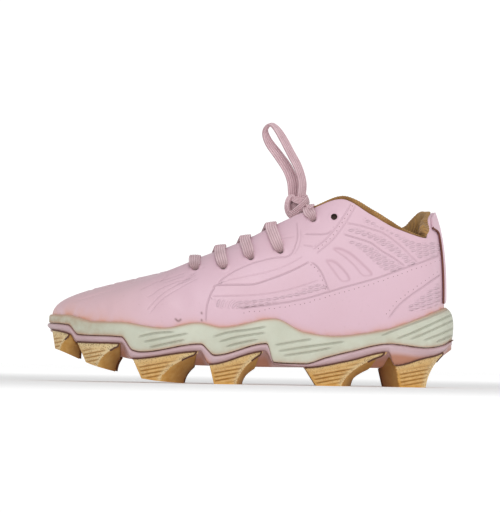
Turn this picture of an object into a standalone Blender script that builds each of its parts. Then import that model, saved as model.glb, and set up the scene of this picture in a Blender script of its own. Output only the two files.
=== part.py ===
"""Low-cut moulded athletic cleat for a left foot, standing empty on its studs.

The toe points to -X, the lateral side faces -Y and the floor is z = 0. Tables are in millimetres, drawn for
the size below, and every vertex is graded to the driving dimensions when its mesh is made.
"""
import math
from collections import namedtuple

import bmesh
import bpy
import numpy as np

# Driving dimensions, in millimetres
LENGTH = 250.0            # sole, heel to toe
BALL_WIDTH = 94.0         # sole, across the ball
INSTEP_HEIGHT = 114.0     # floor to the highest point of the collar
HEEL_HEIGHT = 107.5       # floor to the top of the heel tab
WALL = 2.0                # moulded upper
GAP = 0.3                 # clearance between pieces that touch
INSOLE = 3.0
TONGUE = 3.0
LIP = 1.3                 # midsole edge round the upper
EYELET_RADIUS = 2.0
BACKSTAY = 1.0
LACE_WIDTH = 6.8
LACE_THICK = 1.7

# The size that the tables are drawn for, and what takes them to the driving dimensions
DRAWN = np.array([250.0, 94.0, 114.0])
MM = 0.001
GRADE = np.array([LENGTH, BALL_WIDTH, INSTEP_HEIGHT]) / DRAWN * MM

# One row for each section of the upper, heel to toe: the feather line below, the collar or throat edge above,
# and how the wall bows between them
Rib = namedtuple("Rib", "base_x lateral medial top_x top_y top_z rise swell crown drop")
RIBS = [
    Rib(118.5, 0.0, 0.0, 111.5, 0.0, HEEL_HEIGHT, 0.40, 1.6, 1.05, 0.22),
    Rib(111.5, 16.5, 16.5, 109.3, 13.0, 103.5, 0.40, 1.8, 1.02, 0.24),
    Rib(98.0, 25.8, 25.8, 106.4, 20.0, 91.0, 0.38, 2.2, 0.95, 0.30),
    Rib(79.0, 29.6, 29.0, 89.0, 25.8, 96.0, 0.36, 2.6, 0.85, 0.32),
    Rib(58.0, 30.4, 27.4, 72.5, 26.6, 104.5, 0.35, 3.0, 0.80, 0.33),
    Rib(36.0, 31.8, 25.6, 54.0, 23.0, INSTEP_HEIGHT, 0.35, 3.4, 0.76, 0.32),
    Rib(12.0, 35.2, 27.2, 36.5, 17.5, 108.3, 0.36, 3.6, 0.74, 0.29),
    Rib(-12.0, 39.4, 32.0, 15.0, 14.5, 98.4, 0.38, 3.6, 0.72, 0.25),
    Rib(-36.0, 42.2, 38.2, -5.0, 13.0, 88.0, 0.42, 3.4, 0.70, 0.22),
    Rib(-60.0, 41.4, 41.8, -22.0, 11.0, 81.2, 0.46, 3.0, 0.70, 0.26),
    Rib(-84.0, 34.5, 40.5, -33.0, 8.0, 76.8, 0.50, 2.6, 0.71, 0.36),
    Rib(-106.0, 18.5, 31.5, -39.0, 4.0, 73.0, 0.52, 2.8, 0.73, 0.45),
    Rib(-122.4, -8.0, 8.0, -41.0, 0.0, 71.6, 0.43, 1.2, 0.74, 0.47),
]

# Ribs where the collar of the inner side is cut otherwise: how far back, and how high
MEDIAL_BACK = {2: 105.0}
MEDIAL_HIGH = {1: 105.8, 2: 102.4}

# Heights along the shoe, toe to heel
Height = namedtuple("Height", "x z")
FOOTBED = [
    Height(-121, 38.4), Height(-105, 34.8), Height(-85, 31.2), Height(-60, 28.0), Height(-35, 26.6),
    Height(0, 27.0), Height(40, 26.8), Height(80, 29.4), Height(119, 30.8),
]
MIDSOLE_EDGE = [
    Height(-124, 40.8), Height(-112, 40.6), Height(-94, 36.7), Height(-80, 36.6), Height(-53, 33.5),
    Height(-32, 37.0), Height(-18, 34.5), Height(14, 40.3), Height(33, 32.4), Height(50, 30.5),
    Height(80, 34.5), Height(105, 43.4), Height(121, 50.4),
]
PLATE_LINE = [
    Height(-125, 36.0), Height(-111, 34.7), Height(-104.5, 28.8), Height(-78, 27.8), Height(-71, 19.8),
    Height(-66, 18.8), Height(-30, 24.2), Height(-21.5, 17.6), Height(10, 25.2), Height(14.5, 13.8),
    Height(33, 13.3), Height(47, 17.5), Height(60, 21.0), Height(85, 26.3), Height(107, 24.4),
    Height(117, 26.0), Height(126, 31.0),
]
PLATE_MIDDLE = [
    Height(-125, 35.0), Height(-100, 27.0), Height(-68, 18.0), Height(-30, 17.0), Height(33, 16.0),
    Height(85, 18.5), Height(107, 20.0), Height(126, 27.5),
]
BAND_EDGE = [
    Height(-126, 32.4), Height(-110, 28.9), Height(-106, 24.4), Height(-78, 23.8), Height(-72, 14.8),
    Height(-30, 19.8), Height(-25, 12.2), Height(9, 20.6), Height(14.5, 12.4), Height(33, 11.2),
    Height(60, 15.8), Height(84, 21.4), Height(88, 13.4), Height(105, 17.8), Height(119, 22.4),
    Height(122, 27.2), Height(126, 29.8),
]
PLATE_UNDERSIDE = [
    Height(-126, 31.6), Height(-106, 23.6), Height(-90, 18.6), Height(-70, 13.8), Height(-45, 11.4),
    Height(0, 10.8), Height(40, 11.0), Height(85, 11.6), Height(110, 15.0), Height(126, 25.0),
]
TOE_SPRING = [
    Height(-125, 21.5), Height(-118, 19.2), Height(-95, 10.0), Height(-82, 6.4), Height(-65, 2.5),
    Height(-48, 0.6), Height(-36, 0.0), Height(126, 0.0),
]
SOLE_MARGIN = [
    Height(-122, 2.0), Height(-112, 3.3), Height(-95, 3.8), Height(70, 4.2), Height(100, 5.0), Height(119, 6.5),
]

# Shark-fin studs of one side: the fin's own points along the shoe, then those of its inner end
Stud = namedtuple("Stud", "name top_front tip foot_front foot_rear in_front in_rear in_tip depth")
STUDS = [
    Stud("toe", -122.0, -110.5, -120.0, -117.0, -112.5, -104.5, -104.0, 15.0),
    Stud("forefoot", -105.5, -78.6, -100.0, -93.0, -92.0, -82.0, -79.0, 17.0),
    Stud("ball", -71.0, -31.0, -65.5, -54.5, -52.0, -40.0, -34.0, 18.0),
    Stud("arch", -24.5, 8.0, -21.5, -8.0, -15.0, -4.5, 2.0, 18.0),
    Stud("heel_front", 33.5, 83.5, 40.5, 56.0, 46.0, 62.0, 68.0, 18.0),
    Stud("heel_rear", 88.8, 119.0, 91.5, 107.7, 82.0, 98.0, 104.0, 15.0),
]
STUD_TAPER = 4.5          # a foot stands this far inside the plate's edge
STUD_INSET = 0.4          # and the fin's own top this far
STUD_BITE = 1.2           # a stud is drawn this far into the plate, then cut back to the gap
STUD_KNEE = 1.0           # drop at the fin's tip before its hollow rear starts
STUD_HOLLOW = (0.12, 0.55)    # how far the rear's bend lies back to the tip, and up to it
SIDES = {"lateral": -1.0, "medial": 1.0}

# Eyelets as they stand in the side view, and where the lace from each crosses the throat's edge
Place = namedtuple("Place", "x z")
Eyelet = namedtuple("Eyelet", "x z edge_x")
EYELETS = [
    Eyelet(-34.0, 70.2, -34.6), Eyelet(-17.5, 71.5, -19.4), Eyelet(-0.5, 77.5, -4.2),
    Eyelet(17.0, 82.0, 11.2), Eyelet(37.0, 101.4, 34.2), Eyelet(49.6, 103.5, None),
]

# Tongue, front to top: its ridge and half width
TongueRow = namedtuple("TongueRow", "x z half_width")
TONGUE_ROWS = [
    TongueRow(-52.0, 63.5, 13.0), TongueRow(-40.0, 67.2, 16.0), TongueRow(-20.0, 75.0, 19.0),
    TongueRow(0.0, 83.6, 20.0), TongueRow(22.0, 95.0, 20.5), TongueRow(42.0, 105.0, 20.0),
]
TONGUE_ARCH = 0.62        # fall of the tongue's edge as a share of its half width

# Grooves moulded in the midsole's side: the stretch they run along, and how far down the side each one is
Groove = namedtuple("Groove", "front rear depths")
GROOVES = [
    Groove(-67.0, -38.0, (0.28, 0.48, 0.70)),
    Groove(-22.0, 7.0, (0.28, 0.46, 0.64)),
    Groove(17.0, 42.0, (0.42, 0.60, 0.78)),
    Groove(80.0, None, (0.26, 0.50, 0.74)),
]
GROOVE_WIDTH = 1.35       # at the mouth, which is drawn proud of the side
GROOVE_DEPTH = 0.8
GROOVE_PROUD = 0.5

# Section of the padded collar lining, round it: share of the wall's height, depth in from the wall, lift
LiningRow = namedtuple("LiningRow", "t depth lift")
LINING_ROWS = [
    LiningRow(0.62, 0.4, 0.0), LiningRow(0.82, 0.4, 0.0), LiningRow(1.0, 0.2, 0.5), LiningRow(1.0, -1.1, 2.3),
    LiningRow(1.0, 1.6, 2.6), LiningRow(0.99, 3.8, 0.0), LiningRow(0.88, 4.6, 0.0), LiningRow(0.74, 3.0, 0.0),
    LiningRow(0.62, 1.0, 0.0),
]
LINING_REACH = 5.4        # ribs each side of the heel
LINING_THIN = 0.35        # what is left of the padding at its front ends
LINING_FADE = 1.6         # ribs over which it thins out there

# Strip up the back of the heel: ribs each side of the middle, and where up the wall it widens to its tab
BACKSTAY_HALF = 0.44
TAB_HALF = 1.06
TAB_START = (0.78, 0.92)
BACKSTAY_CLEAR = 0.03     # share of the wall's height between it and the midsole

# The bow: its knot and the loop that stands up from it
KNOT = (27.6, 0.0, 110.0)
KNOT_RADII = (6.6, 5.2, 6.4)
KNOT_SQUARE = 0.7         # below 1, its ends are blunter than an ellipsoid's
RoutePoint = namedtuple("RoutePoint", "x y z")
LOOP_ROUTE = [
    RoutePoint(30.0, -2.4, 117.2), RoutePoint(30.3, -2.8, 125.0), RoutePoint(27.6, -3.0, 134.0),
    RoutePoint(22.8, -3.0, 143.0), RoutePoint(17.6, -2.4, 152.4), RoutePoint(13.2, -1.2, 158.6),
    RoutePoint(9.6, 0.2, 160.2), RoutePoint(7.0, 1.4, 156.2), RoutePoint(9.3, 2.4, 149.6),
    RoutePoint(16.0, 3.0, 140.8), RoutePoint(21.4, 3.0, 133.0), RoutePoint(24.3, 2.8, 125.5),
    RoutePoint(25.2, 2.4, 117.2),
]
LOOP_FACING = [
    (0.9, -1.0, 0.1), (0.9, -1.0, 0.15), (0.9, -1.0, 0.4), (0.3, -0.3, 1.0), (-1.0, 0.3, 0.3),
    (-0.7, 0.8, 0.0), (-0.3, 1.0, 0.0), (-0.2, 1.0, 0.0),
]
RIB_COUNT = 2 * (len(RIBS) - 1)
TOE = RIB_COUNT // 2

for leftover in list(bpy.data.objects):
    bpy.data.objects.remove(leftover)


def monotone(rows):
    """Smooth curve through (x, value) rows that never overshoots them."""
    x = np.array([row[0] for row in rows], float)
    y = np.array([row[1] for row in rows], float)
    run = np.diff(x)
    slope = np.diff(y) / run
    turn = slope[:-1] * slope[1:] > 0
    weight = 2 * run[1:] + run[:-1], run[1:] + 2 * run[:-1]
    safe = np.where(turn, slope[:-1], 1.0), np.where(turn, slope[1:], 1.0)
    inner = np.where(turn, (weight[0] + weight[1]) / (weight[0] / safe[0] + weight[1] / safe[1]), 0.0)
    tangent = np.concatenate([slope[:1], inner, slope[-1:]])

    def at(where):
        where = np.clip(np.asarray(where, float), x[0], x[-1])
        i = np.clip(np.searchsorted(x, where, side="right") - 1, 0, len(run) - 1)
        f = (where - x[i]) / run[i]
        rise = y[i] + (3 * f**2 - 2 * f**3) * (y[i + 1] - y[i])
        return rise + run[i] * (f * (1 - f) ** 2 * tangent[i] - f**2 * (1 - f) * tangent[i + 1])

    return at


def closed_spline(values):
    """Smooth closed curve through values at 0, 1, 2 and so on."""
    values = np.array(values, float)
    n = len(values)
    turn = 4 * np.eye(n) + np.roll(np.eye(n), 1, 0) + np.roll(np.eye(n), -1, 0)
    tangent = np.linalg.solve(turn, 3 * (np.roll(values, -1) - np.roll(values, 1)))

    def at(u):
        u = np.asarray(u, float)
        i = np.floor(u).astype(int)
        f = u - i
        a, b = i % n, (i + 1) % n
        rise = values[a] + (3 * f**2 - 2 * f**3) * (values[b] - values[a])
        return rise + f * (1 - f) ** 2 * tangent[a] - f**2 * (1 - f) * tangent[b]

    return at


def round_shoe(column, mirrored=False):
    """A rib column's values round the shoe: down the lateral side and back up the medial one."""
    lateral = [getattr(rib, column) for rib in RIBS]
    medial = lateral[-2:0:-1]
    return [-v for v in lateral] + medial if mirrored else lateral + medial


def own_inner(values, inner):
    """Values round the shoe, with those of some ribs changed on the inner side."""
    return [inner.get(len(values) - i, value) if i > TOE else value for i, value in enumerate(values)]


def closed_monotone(values):
    n = len(values)
    return monotone([(u, values[u % n]) for u in range(-8, n + 9)])


footbed = monotone(FOOTBED)
midsole_edge = monotone(MIDSOLE_EDGE)
plate_line = monotone(PLATE_LINE)
plate_middle = monotone(PLATE_MIDDLE)
band_edge = monotone(BAND_EDGE)
plate_underside = monotone(PLATE_UNDERSIDE)
toe_spring = monotone(TOE_SPRING)
sole_margin = monotone(SOLE_MARGIN)

base_x = closed_spline(round_shoe("base_x"))
base_y = closed_spline([-rib.lateral for rib in RIBS] + [rib.medial for rib in RIBS[-2:0:-1]])
top_x = closed_spline(own_inner(round_shoe("top_x"), MEDIAL_BACK))
top_y = closed_spline(round_shoe("top_y", mirrored=True))
top_z = closed_monotone(own_inner(round_shoe("top_z"), MEDIAL_HIGH))
rise_share = closed_monotone(round_shoe("rise"))
swell_out = closed_monotone(round_shoe("swell"))
crown_share = closed_monotone(round_shoe("crown"))
drop_share = closed_monotone(round_shoe("drop"))


def plan_normal(u):
    """Outward direction of the feather line in plan."""
    step = 0.01
    dx = base_x(u + step) - base_x(u - step)
    dy = base_y(u + step) - base_y(u - step)
    size = np.hypot(dx, dy)
    return -dy / size, dx / size


def bezier_wall(u, t):
    """Point of the upper's outer face at rib u, from the feather line t = 0 to the top edge t = 1."""
    u, t = np.broadcast_arrays(np.asarray(u, float), np.asarray(t, float))
    bx, by, tx, ty, tz = base_x(u), base_y(u), top_x(u), top_y(u), top_z(u)
    bz = footbed(bx) + GAP
    nx, ny = plan_normal(u)
    swell, crown = swell_out(u), crown_share(u)
    low = bx + nx * swell, by + ny * swell, bz + rise_share(u) * (tz - bz)
    high = tx + crown * (bx - tx), ty + crown * (by - ty), tz - drop_share(u) * (tz - bz)
    ends = (bx, by, bz), (tx, ty, tz)
    weights = (1 - t) ** 3, 3 * t * (1 - t) ** 2, 3 * t**2 * (1 - t), t**3
    return np.stack([
        weights[0] * ends[0][k] + weights[1] * low[k] + weights[2] * high[k] + weights[3] * ends[1][k]
        for k in range(3)
    ], -1)


def wall_normal(u, t):
    step = 0.004
    along = bezier_wall(u + step, t) - bezier_wall(u - step, t)
    up = bezier_wall(u, np.minimum(t + step, 1.0)) - bezier_wall(u, np.maximum(t - step, 0.0))
    across = np.cross(up, along)
    return across / np.linalg.norm(across, axis=-1, keepdims=True)


def edge_away(u):
    """Direction out of the upper's wall at its top edge, square to that edge."""
    step = 0.004
    top = np.ones_like(u)
    away = np.cross(bezier_wall(u + step, top) - bezier_wall(u - step, top), wall_normal(u, top))
    return away / np.linalg.norm(away, axis=-1, keepdims=True)


def upper_face(u, t, out=0.0):
    """The upper's outer face, moved out along its normal."""
    u, t = np.broadcast_arrays(np.asarray(u, float), np.asarray(t, float))
    return bezier_wall(u, t) + wall_normal(u, t) * np.asarray(out)[..., None]


def find_on_upper(place, side):
    """Rib and height of the upper's outer face that the side view shows at a place."""
    half = np.linspace(0.5, TOE - 0.5, 240)
    u = half if SIDES[side] < 0 else RIB_COUNT - half
    t = np.linspace(0.05, 0.99, 120)
    points = bezier_wall(u[:, None], t[None, :])
    miss = (points[..., 0] - place.x) ** 2 + (points[..., 2] - place.z) ** 2
    i, j = np.unravel_index(np.argmin(miss), miss.shape)
    return u[i], t[j]


def material(name, colour, roughness):
    made = bpy.data.materials.new(name)
    made.use_nodes = True
    shader = made.node_tree.nodes["Principled BSDF"]
    shader.inputs["Base Color"].default_value = (*colour, 1.0)
    shader.inputs["Roughness"].default_value = roughness
    return made


PINK = material("moulded_pink", (0.70, 0.47, 0.57), 0.42)
SAGE = material("midsole_sage", (0.55, 0.57, 0.46), 0.55)
PLATE_PINK = material("plate_pink", (0.62, 0.42, 0.45), 0.45)
GUM = material("stud_gum", (0.52, 0.31, 0.10), 0.5)
TAN = material("lining_tan", (0.33, 0.21, 0.09), 0.85)
LACE = material("lace_pink", (0.58, 0.40, 0.42), 0.8)


def face_outwards(mesh):
    bmesh.ops.recalc_face_normals(mesh, faces=mesh.faces)
    if mesh.calc_volume(signed=True) < 0:
        bmesh.ops.reverse_faces(mesh, faces=mesh.faces)


def solid(name, patches, finish):
    """One closed body from grids of points that share their edges, with a flat cap on any open end."""
    mesh = bmesh.new()
    for patch in patches:
        rows, columns = patch.shape[:2]
        grid = [[mesh.verts.new(point) for point in row] for row in patch * GRADE]
        for i in range(rows - 1):
            for j in range(columns - 1):
                mesh.faces.new((grid[i][j], grid[i][j + 1], grid[i + 1][j + 1], grid[i + 1][j]))
    bmesh.ops.remove_doubles(mesh, verts=mesh.verts, dist=2e-6)
    bmesh.ops.dissolve_degenerate(mesh, edges=mesh.edges, dist=1e-7)
    bmesh.ops.holes_fill(mesh, edges=[edge for edge in mesh.edges if edge.is_boundary], sides=0)
    bmesh.ops.triangulate(mesh, faces=mesh.faces)
    face_outwards(mesh)
    data = bpy.data.meshes.new(name)
    mesh.to_mesh(data)
    mesh.free()
    data.materials.append(finish)
    data.shade_smooth()
    data.set_sharp_from_angle(angle=math.radians(40))
    made = bpy.data.objects.new(name, data)
    bpy.context.scene.collection.objects.link(made)
    return made


def shell_patches(outer, inner):
    """Patches of a sheet between two grids, with its four edges closed."""
    return [
        outer, inner,
        np.stack([outer[0], inner[0]]), np.stack([outer[-1], inner[-1]]),
        np.stack([outer[:, 0], inner[:, 0]]), np.stack([outer[:, -1], inner[:, -1]]),
    ]


def smoothstep(low, high, value):
    f = np.clip((value - low) / (high - low), 0, 1)
    return f * f * (3 - 2 * f)


def closed(loop):
    return np.concatenate([loop, loop[:1]])


def cross_sheet(loop, count, height=None):
    """Sheet across a loop that runs heel, lateral side, toe, medial side."""
    half = len(loop) // 2
    rows = []
    for j in range(half + 1):
        share = np.linspace(0, 1, count + 1)[:, None]
        row = loop[j] + share * (loop[-j] - loop[j])
        if height is not None:
            row[1:-1, 2] = height(row[1:-1, 0], np.abs(2 * share[1:-1, 0] - 1))
        rows.append(row)
    return np.array(rows)


def step_height(edge, middle):
    """Height of a sheet that has one profile at its edge and another in its middle."""
    def at(x, share):
        near = smoothstep(0.55, 0.9, share)
        return near * edge(x) + (1 - near) * middle(x)
    return at


under_midsole = step_height(plate_line, plate_middle)
under_plate = step_height(band_edge, plate_underside)


def sole_stations():
    """Rib positions round the sole, with one at each step of its side."""
    dense = np.linspace(0, TOE, 600)
    steps = [row.x for row in PLATE_LINE + BAND_EDGE if base_x(TOE) < row.x < base_x(0)]
    at_steps = np.interp(steps, base_x(dense)[::-1], dense[::-1])
    wanted = np.sort(np.concatenate([np.linspace(0, TOE, 25), at_steps]))
    half = [0.0]
    for u in wanted:
        if u - half[-1] > 0.17 and TOE - u > 0.17:
            half.append(u)
    half = np.array(half + [float(TOE)])
    return np.concatenate([half, RIB_COUNT - half[-2:0:-1]])


STATIONS = sole_stations()


def stations_between(low, high):
    """The two ends of a stretch that passes the heel, and the sole's stations between them."""
    ribs = np.concatenate([STATIONS - RIB_COUNT, STATIONS])
    inside = ribs[(ribs > low + 0.05) & (ribs < high - 0.05)]
    return np.unique(np.concatenate([[low], inside, [high]]))


def outline(u, out):
    nx, ny = plan_normal(u)
    return base_x(u) + nx * out, base_y(u) + ny * out


def edge_share(u):
    """How far up the wall the midsole's edge reaches."""
    t = np.linspace(0, 0.6, 61)
    return np.array([np.interp(midsole_edge(base_x(v)), bezier_wall(v, t)[:, 2], t) for v in u])


# Share of the midsole side's height, and of its margin there
MIDSOLE_ROWS = [(0.1, 0.5), (0.3, 0.86), (0.55, 1.0), (0.8, 0.97)]


def midsole_loops():
    """Inner wall, lip and outer side of the midsole cup: closed loops from the footbed down to the plate."""
    u = STATIONS
    reach = edge_share(u)
    inner = [upper_face(u, reach * share, GAP) for share in (0.0, 0.5, 1.0)]
    inner[0][:, 2] = footbed(inner[0][:, 0])
    lip = upper_face(u, reach, GAP + LIP)
    lip[:, 2] = inner[2][:, 2] - 0.4
    nx, ny = plan_normal(u)
    lip_out = (lip[:, 0] - base_x(u)) * nx + (lip[:, 1] - base_y(u)) * ny
    margin = sole_margin(base_x(u))
    foot_x, foot_y = outline(u, margin - 0.7)
    foot = np.stack([foot_x, foot_y, plate_line(foot_x)], -1)
    sides = []
    for depth, reach_out in MIDSOLE_ROWS:
        x, y = outline(u, lip_out + reach_out * (margin - lip_out))
        sides.append(np.stack([x, y, lip[:, 2] + depth * (foot[:, 2] - lip[:, 2])], -1))
    return inner + [lip] + sides + [foot]


MIDSOLE_LOOPS = midsole_loops()


def make_midsole():
    loops = [closed(loop) for loop in MIDSOLE_LOOPS]
    patches = [
        np.array(loops),
        cross_sheet(MIDSOLE_LOOPS[0], 4, lambda x, share: footbed(x)),
        cross_sheet(MIDSOLE_LOOPS[-1], 6, under_midsole),
    ]
    made = solid("midsole", patches, SAGE)
    boolean(made, groove_cutter(), "DIFFERENCE")
    return made


def midsole_side(u, depth):
    """Point of the midsole's outer side, a share of the way down from its lip."""
    loops = np.array(MIDSOLE_LOOPS[3:])
    rows = np.array([0.0, *[row[0] for row in MIDSOLE_ROWS], 1.0])
    ribs = np.append(STATIONS, RIB_COUNT)
    column = np.array([
        [np.interp(u % RIB_COUNT, ribs, np.append(loop[:, k], loop[0, k])) for k in range(3)]
        for loop in loops
    ])
    return np.array([np.interp(depth, rows, column[:, k]) for k in range(3)])


def groove_cutter():
    """Wedges along the grooves of both sides, and right round the heel."""
    rib_of = np.linspace(0, TOE, 600)
    wedges = []
    for groove in GROOVES:
        front = np.interp(groove.front, base_x(rib_of)[::-1], rib_of[::-1])
        if groove.rear is None:
            stretches = [stations_between(-front, front)]
        else:
            rear = np.interp(groove.rear, base_x(rib_of)[::-1], rib_of[::-1])
            stretches = [np.linspace(rear, front, 4), RIB_COUNT - np.linspace(rear, front, 4)]
        for ribs in stretches:
            wedges += [groove_wedge(ribs, depth) for depth in groove.depths]
    return as_cutter(solid("groove_cutter", wedges, SAGE))


def groove_wedge(ribs, depth):
    """Rings of a wedge that bites most at the middle of its stretch and runs out of the side at its ends."""
    rings = []
    for i, u in enumerate(ribs):
        point = midsole_side(u, depth)
        nx, ny = plan_normal(u)
        out = np.array([nx, ny, 0.0])
        bite = GROOVE_DEPTH if 0 < i < len(ribs) - 1 else -GROOVE_PROUD / 2
        half = np.array([0.0, 0.0, GROOVE_WIDTH / 2])
        face = point + out * GROOVE_PROUD
        rings.append(closed(np.array([face + half, point - out * bite, face - half])))
    return np.array(rings)


def plate_loops():
    u = STATIONS
    top = MIDSOLE_LOOPS[-1] - np.array([0, 0, GAP])
    margin = sole_margin(base_x(u))
    loops = [top]
    for share, out in ((0.2, 0.1), (0.7, 0.1), (1.0, -1.0)):
        x, y = outline(u, margin + out)
        low = band_edge(x)
        loops.append(np.stack([x, y, top[:, 2] + share * (low - top[:, 2])], -1))
    return loops


PLATE_LOOPS = plate_loops()


def make_plate():
    loops = [closed(loop) for loop in PLATE_LOOPS]
    patches = [
        np.array(loops),
        cross_sheet(PLATE_LOOPS[0], 6, lambda x, share: under_midsole(x, share) - GAP),
        cross_sheet(PLATE_LOOPS[-1], 8, under_plate),
    ]
    return solid("plate", patches, PLATE_PINK)


def plate_edge_y(x, sign):
    """The plate's lower edge on one side, toe to heel."""
    half = len(STATIONS) // 2
    loop = PLATE_LOOPS[-1]
    side = loop[half::-1] if sign < 0 else closed(loop)[half:]
    return np.interp(x, side[:, 0], side[:, 1])


def plate_bottom(x, y):
    lateral, medial = plate_edge_y(x, -1), plate_edge_y(x, 1)
    middle, half = (lateral + medial) / 2, (medial - lateral) / 2
    return under_plate(x, np.clip(np.abs(y - middle) / np.maximum(half, 1.0), 0, 1))


def stud_ring(stud, sign, share):
    """Fin outline at a share of the way from the stud's outer face to its inner end."""
    def mix(outer, inner):
        return outer + (inner - outer) * share

    front = stud.top_front + (stud.in_front - stud.foot_front) * share
    tip = mix(stud.tip, stud.in_tip)
    foot_front, foot_rear = mix(stud.foot_front, stud.in_front), mix(stud.foot_rear, stud.in_rear)
    inward = -sign * stud.depth * share

    def on(x, inset):
        return plate_edge_y(x, sign) - sign * inset + inward

    top_x_row = np.linspace(front, tip, 6)
    top_y_row = on(top_x_row, STUD_INSET)
    top = np.stack([top_x_row, top_y_row, plate_bottom(top_x_row, top_y_row) + STUD_BITE], -1)
    foot = np.array([[x, on(x, STUD_TAPER * (1 - share)), toe_spring(x)] for x in (foot_rear, foot_front)])
    knee = top[-1] - np.array([0, 0, STUD_KNEE])
    bend = foot[0] + np.array([STUD_HOLLOW[0], 0, STUD_HOLLOW[1]]) * (knee - foot[0])
    rear = []
    for f in (0.25, 0.5, 0.75):
        point = (1 - f) ** 2 * knee + 2 * f * (1 - f) * bend + f**2 * foot[0]
        point[1] = knee[1] + f * (foot[0][1] - knee[1])
        rear.append(point)
    brow = (top[0] + foot[1]) / 2
    return np.array([*top, knee, *rear, *foot, brow])


def make_stud(stud, side, cutter):
    rings = np.array([closed(stud_ring(stud, SIDES[side], share)) for share in (0.0, 0.5, 1.0)])
    made = solid(f"stud_{stud.name}_{side}", [rings], GUM)
    boolean(made, cutter, "DIFFERENCE")
    return made


def boolean(made, other, operation):
    change = made.modifiers.new(other.name, "BOOLEAN")
    change.operation = operation
    change.object = other


def as_cutter(made):
    made.hide_render = True
    made.display_type = "WIRE"
    return made


def plate_cutter(plate):
    """A copy of the plate, lower by the gap, that a stud's top is cut with."""
    made = bpy.data.objects.new("plate_cutter", plate.data.copy())
    made.location.z = -GAP * MM
    bpy.context.scene.collection.objects.link(made)
    return as_cutter(made)


UPPER_UP = 9


def make_upper():
    u = np.append(STATIONS, RIB_COUNT)[:, None]
    t = np.linspace(0, 1, UPPER_UP + 1)[None, :]
    outer, inner = upper_face(u, t), upper_face(u, t, -WALL)
    inner[:, 0, 2] = outer[:, 0, 2]
    made = solid("upper", [
        outer, inner, np.stack([outer[:, 0], inner[:, 0]]), np.stack([outer[:, -1], inner[:, -1]]),
    ], PINK)
    boolean(made, eyelet_cutter(), "DIFFERENCE")
    return made


def eyelet_cutter():
    """Pins on the wall's normals, one through each eyelet of both sides."""
    sides, reach = 10, 4.0
    mesh = bmesh.new()
    for side in SIDES:
        for place in EYELETS:
            u, t = find_on_upper(place, side)
            centre, axis = bezier_wall(u, t), wall_normal(u, t)
            across = np.cross(axis, (0, 0, 1.0))
            across /= np.linalg.norm(across)
            other = np.cross(axis, across)
            turn = np.linspace(0, 2 * math.pi, sides, endpoint=False)
            ring = centre + EYELET_RADIUS * (np.cos(turn)[:, None] * across + np.sin(turn)[:, None] * other)
            rings = [ring + axis * reach, ring - axis * reach]
            ends = [[mesh.verts.new(point * GRADE) for point in row] for row in rings]
            mesh.faces.new(ends[0])
            mesh.faces.new(ends[1][::-1])
            for i in range(sides):
                j = (i + 1) % sides
                mesh.faces.new((ends[0][i], ends[1][i], ends[1][j], ends[0][j]))
    bmesh.ops.recalc_face_normals(mesh, faces=mesh.faces)
    data = bpy.data.meshes.new("eyelet_cutter")
    mesh.to_mesh(data)
    mesh.free()
    made = bpy.data.objects.new("eyelet_cutter", data)
    bpy.context.scene.collection.objects.link(made)
    return as_cutter(made)


def make_insole():
    half = np.linspace(0, TOE, 25)
    u = np.concatenate([half, RIB_COUNT - half[-2:0:-1]])
    x, y = outline(u, -(WALL + 3 * GAP))
    low = np.stack([x, y, footbed(x) + GAP], -1)
    high = low + np.array([0, 0, INSOLE])
    return solid("insole", [
        np.array([closed(low), closed(high)]),
        cross_sheet(low, 2, lambda x, share: footbed(x) + GAP),
        cross_sheet(high, 2, lambda x, share: footbed(x) + GAP + INSOLE),
    ], TAN)


def tongue_face(along, across, lift):
    """Tongue surface: along its ridge, across it from -1 to 1, lifted by a thickness."""
    ridge_z = monotone([(row.x, row.z) for row in TONGUE_ROWS])
    half_width = monotone([(row.x, row.half_width) for row in TONGUE_ROWS])
    x = TONGUE_ROWS[0].x + along * (TONGUE_ROWS[-1].x - TONGUE_ROWS[0].x)
    fall = TONGUE_ARCH * half_width(x) * np.abs(across) ** 2.2
    return np.stack(np.broadcast_arrays(x, across * half_width(x), ridge_z(x) - fall + lift), -1)


def make_tongue():
    along = np.linspace(0, 1, 12)[:, None]
    across = np.linspace(-1, 1, 9)[None, :]
    return solid("tongue", shell_patches(
        tongue_face(along, across, 0.0), tongue_face(along, across, -TONGUE)), TAN)


def make_lining():
    """Padded collar lining that rolls over the upper's edge, thin at its ends by the throat."""
    u = RIB_COUNT + stations_between(-LINING_REACH, LINING_REACH)
    from_end = LINING_REACH - np.abs(u - RIB_COUNT)
    fullness = LINING_THIN + (1 - LINING_THIN) * smoothstep(0.0, LINING_FADE, from_end)
    columns = []
    for row in LINING_ROWS:
        t = np.full_like(u, row.t)
        column = upper_face(u, t, -(WALL + 2 * GAP + max(row.depth, 0.0) * fullness))
        column += wall_normal(u, t) * max(-row.depth, 0.0)
        columns.append(column + edge_away(u) * row.lift)
    return solid("collar_lining", [np.stack(columns + columns[:1], 1)], TAN)


def make_backstay():
    """Strip up the back of the heel that widens into the tab."""
    low = edge_share(np.array([0.0]))[0] + BACKSTAY_CLEAR
    t = np.linspace(low, 1.0, 9)[:, None]
    half_width = BACKSTAY_HALF + (TAB_HALF - BACKSTAY_HALF) * smoothstep(*TAB_START, t)
    u = half_width * np.linspace(-1, 1, 7)[None, :] + RIB_COUNT
    t = np.broadcast_to(t, u.shape)
    return solid("backstay", shell_patches(
        upper_face(u, t, GAP + BACKSTAY), upper_face(u, t, GAP)), PINK)


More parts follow.
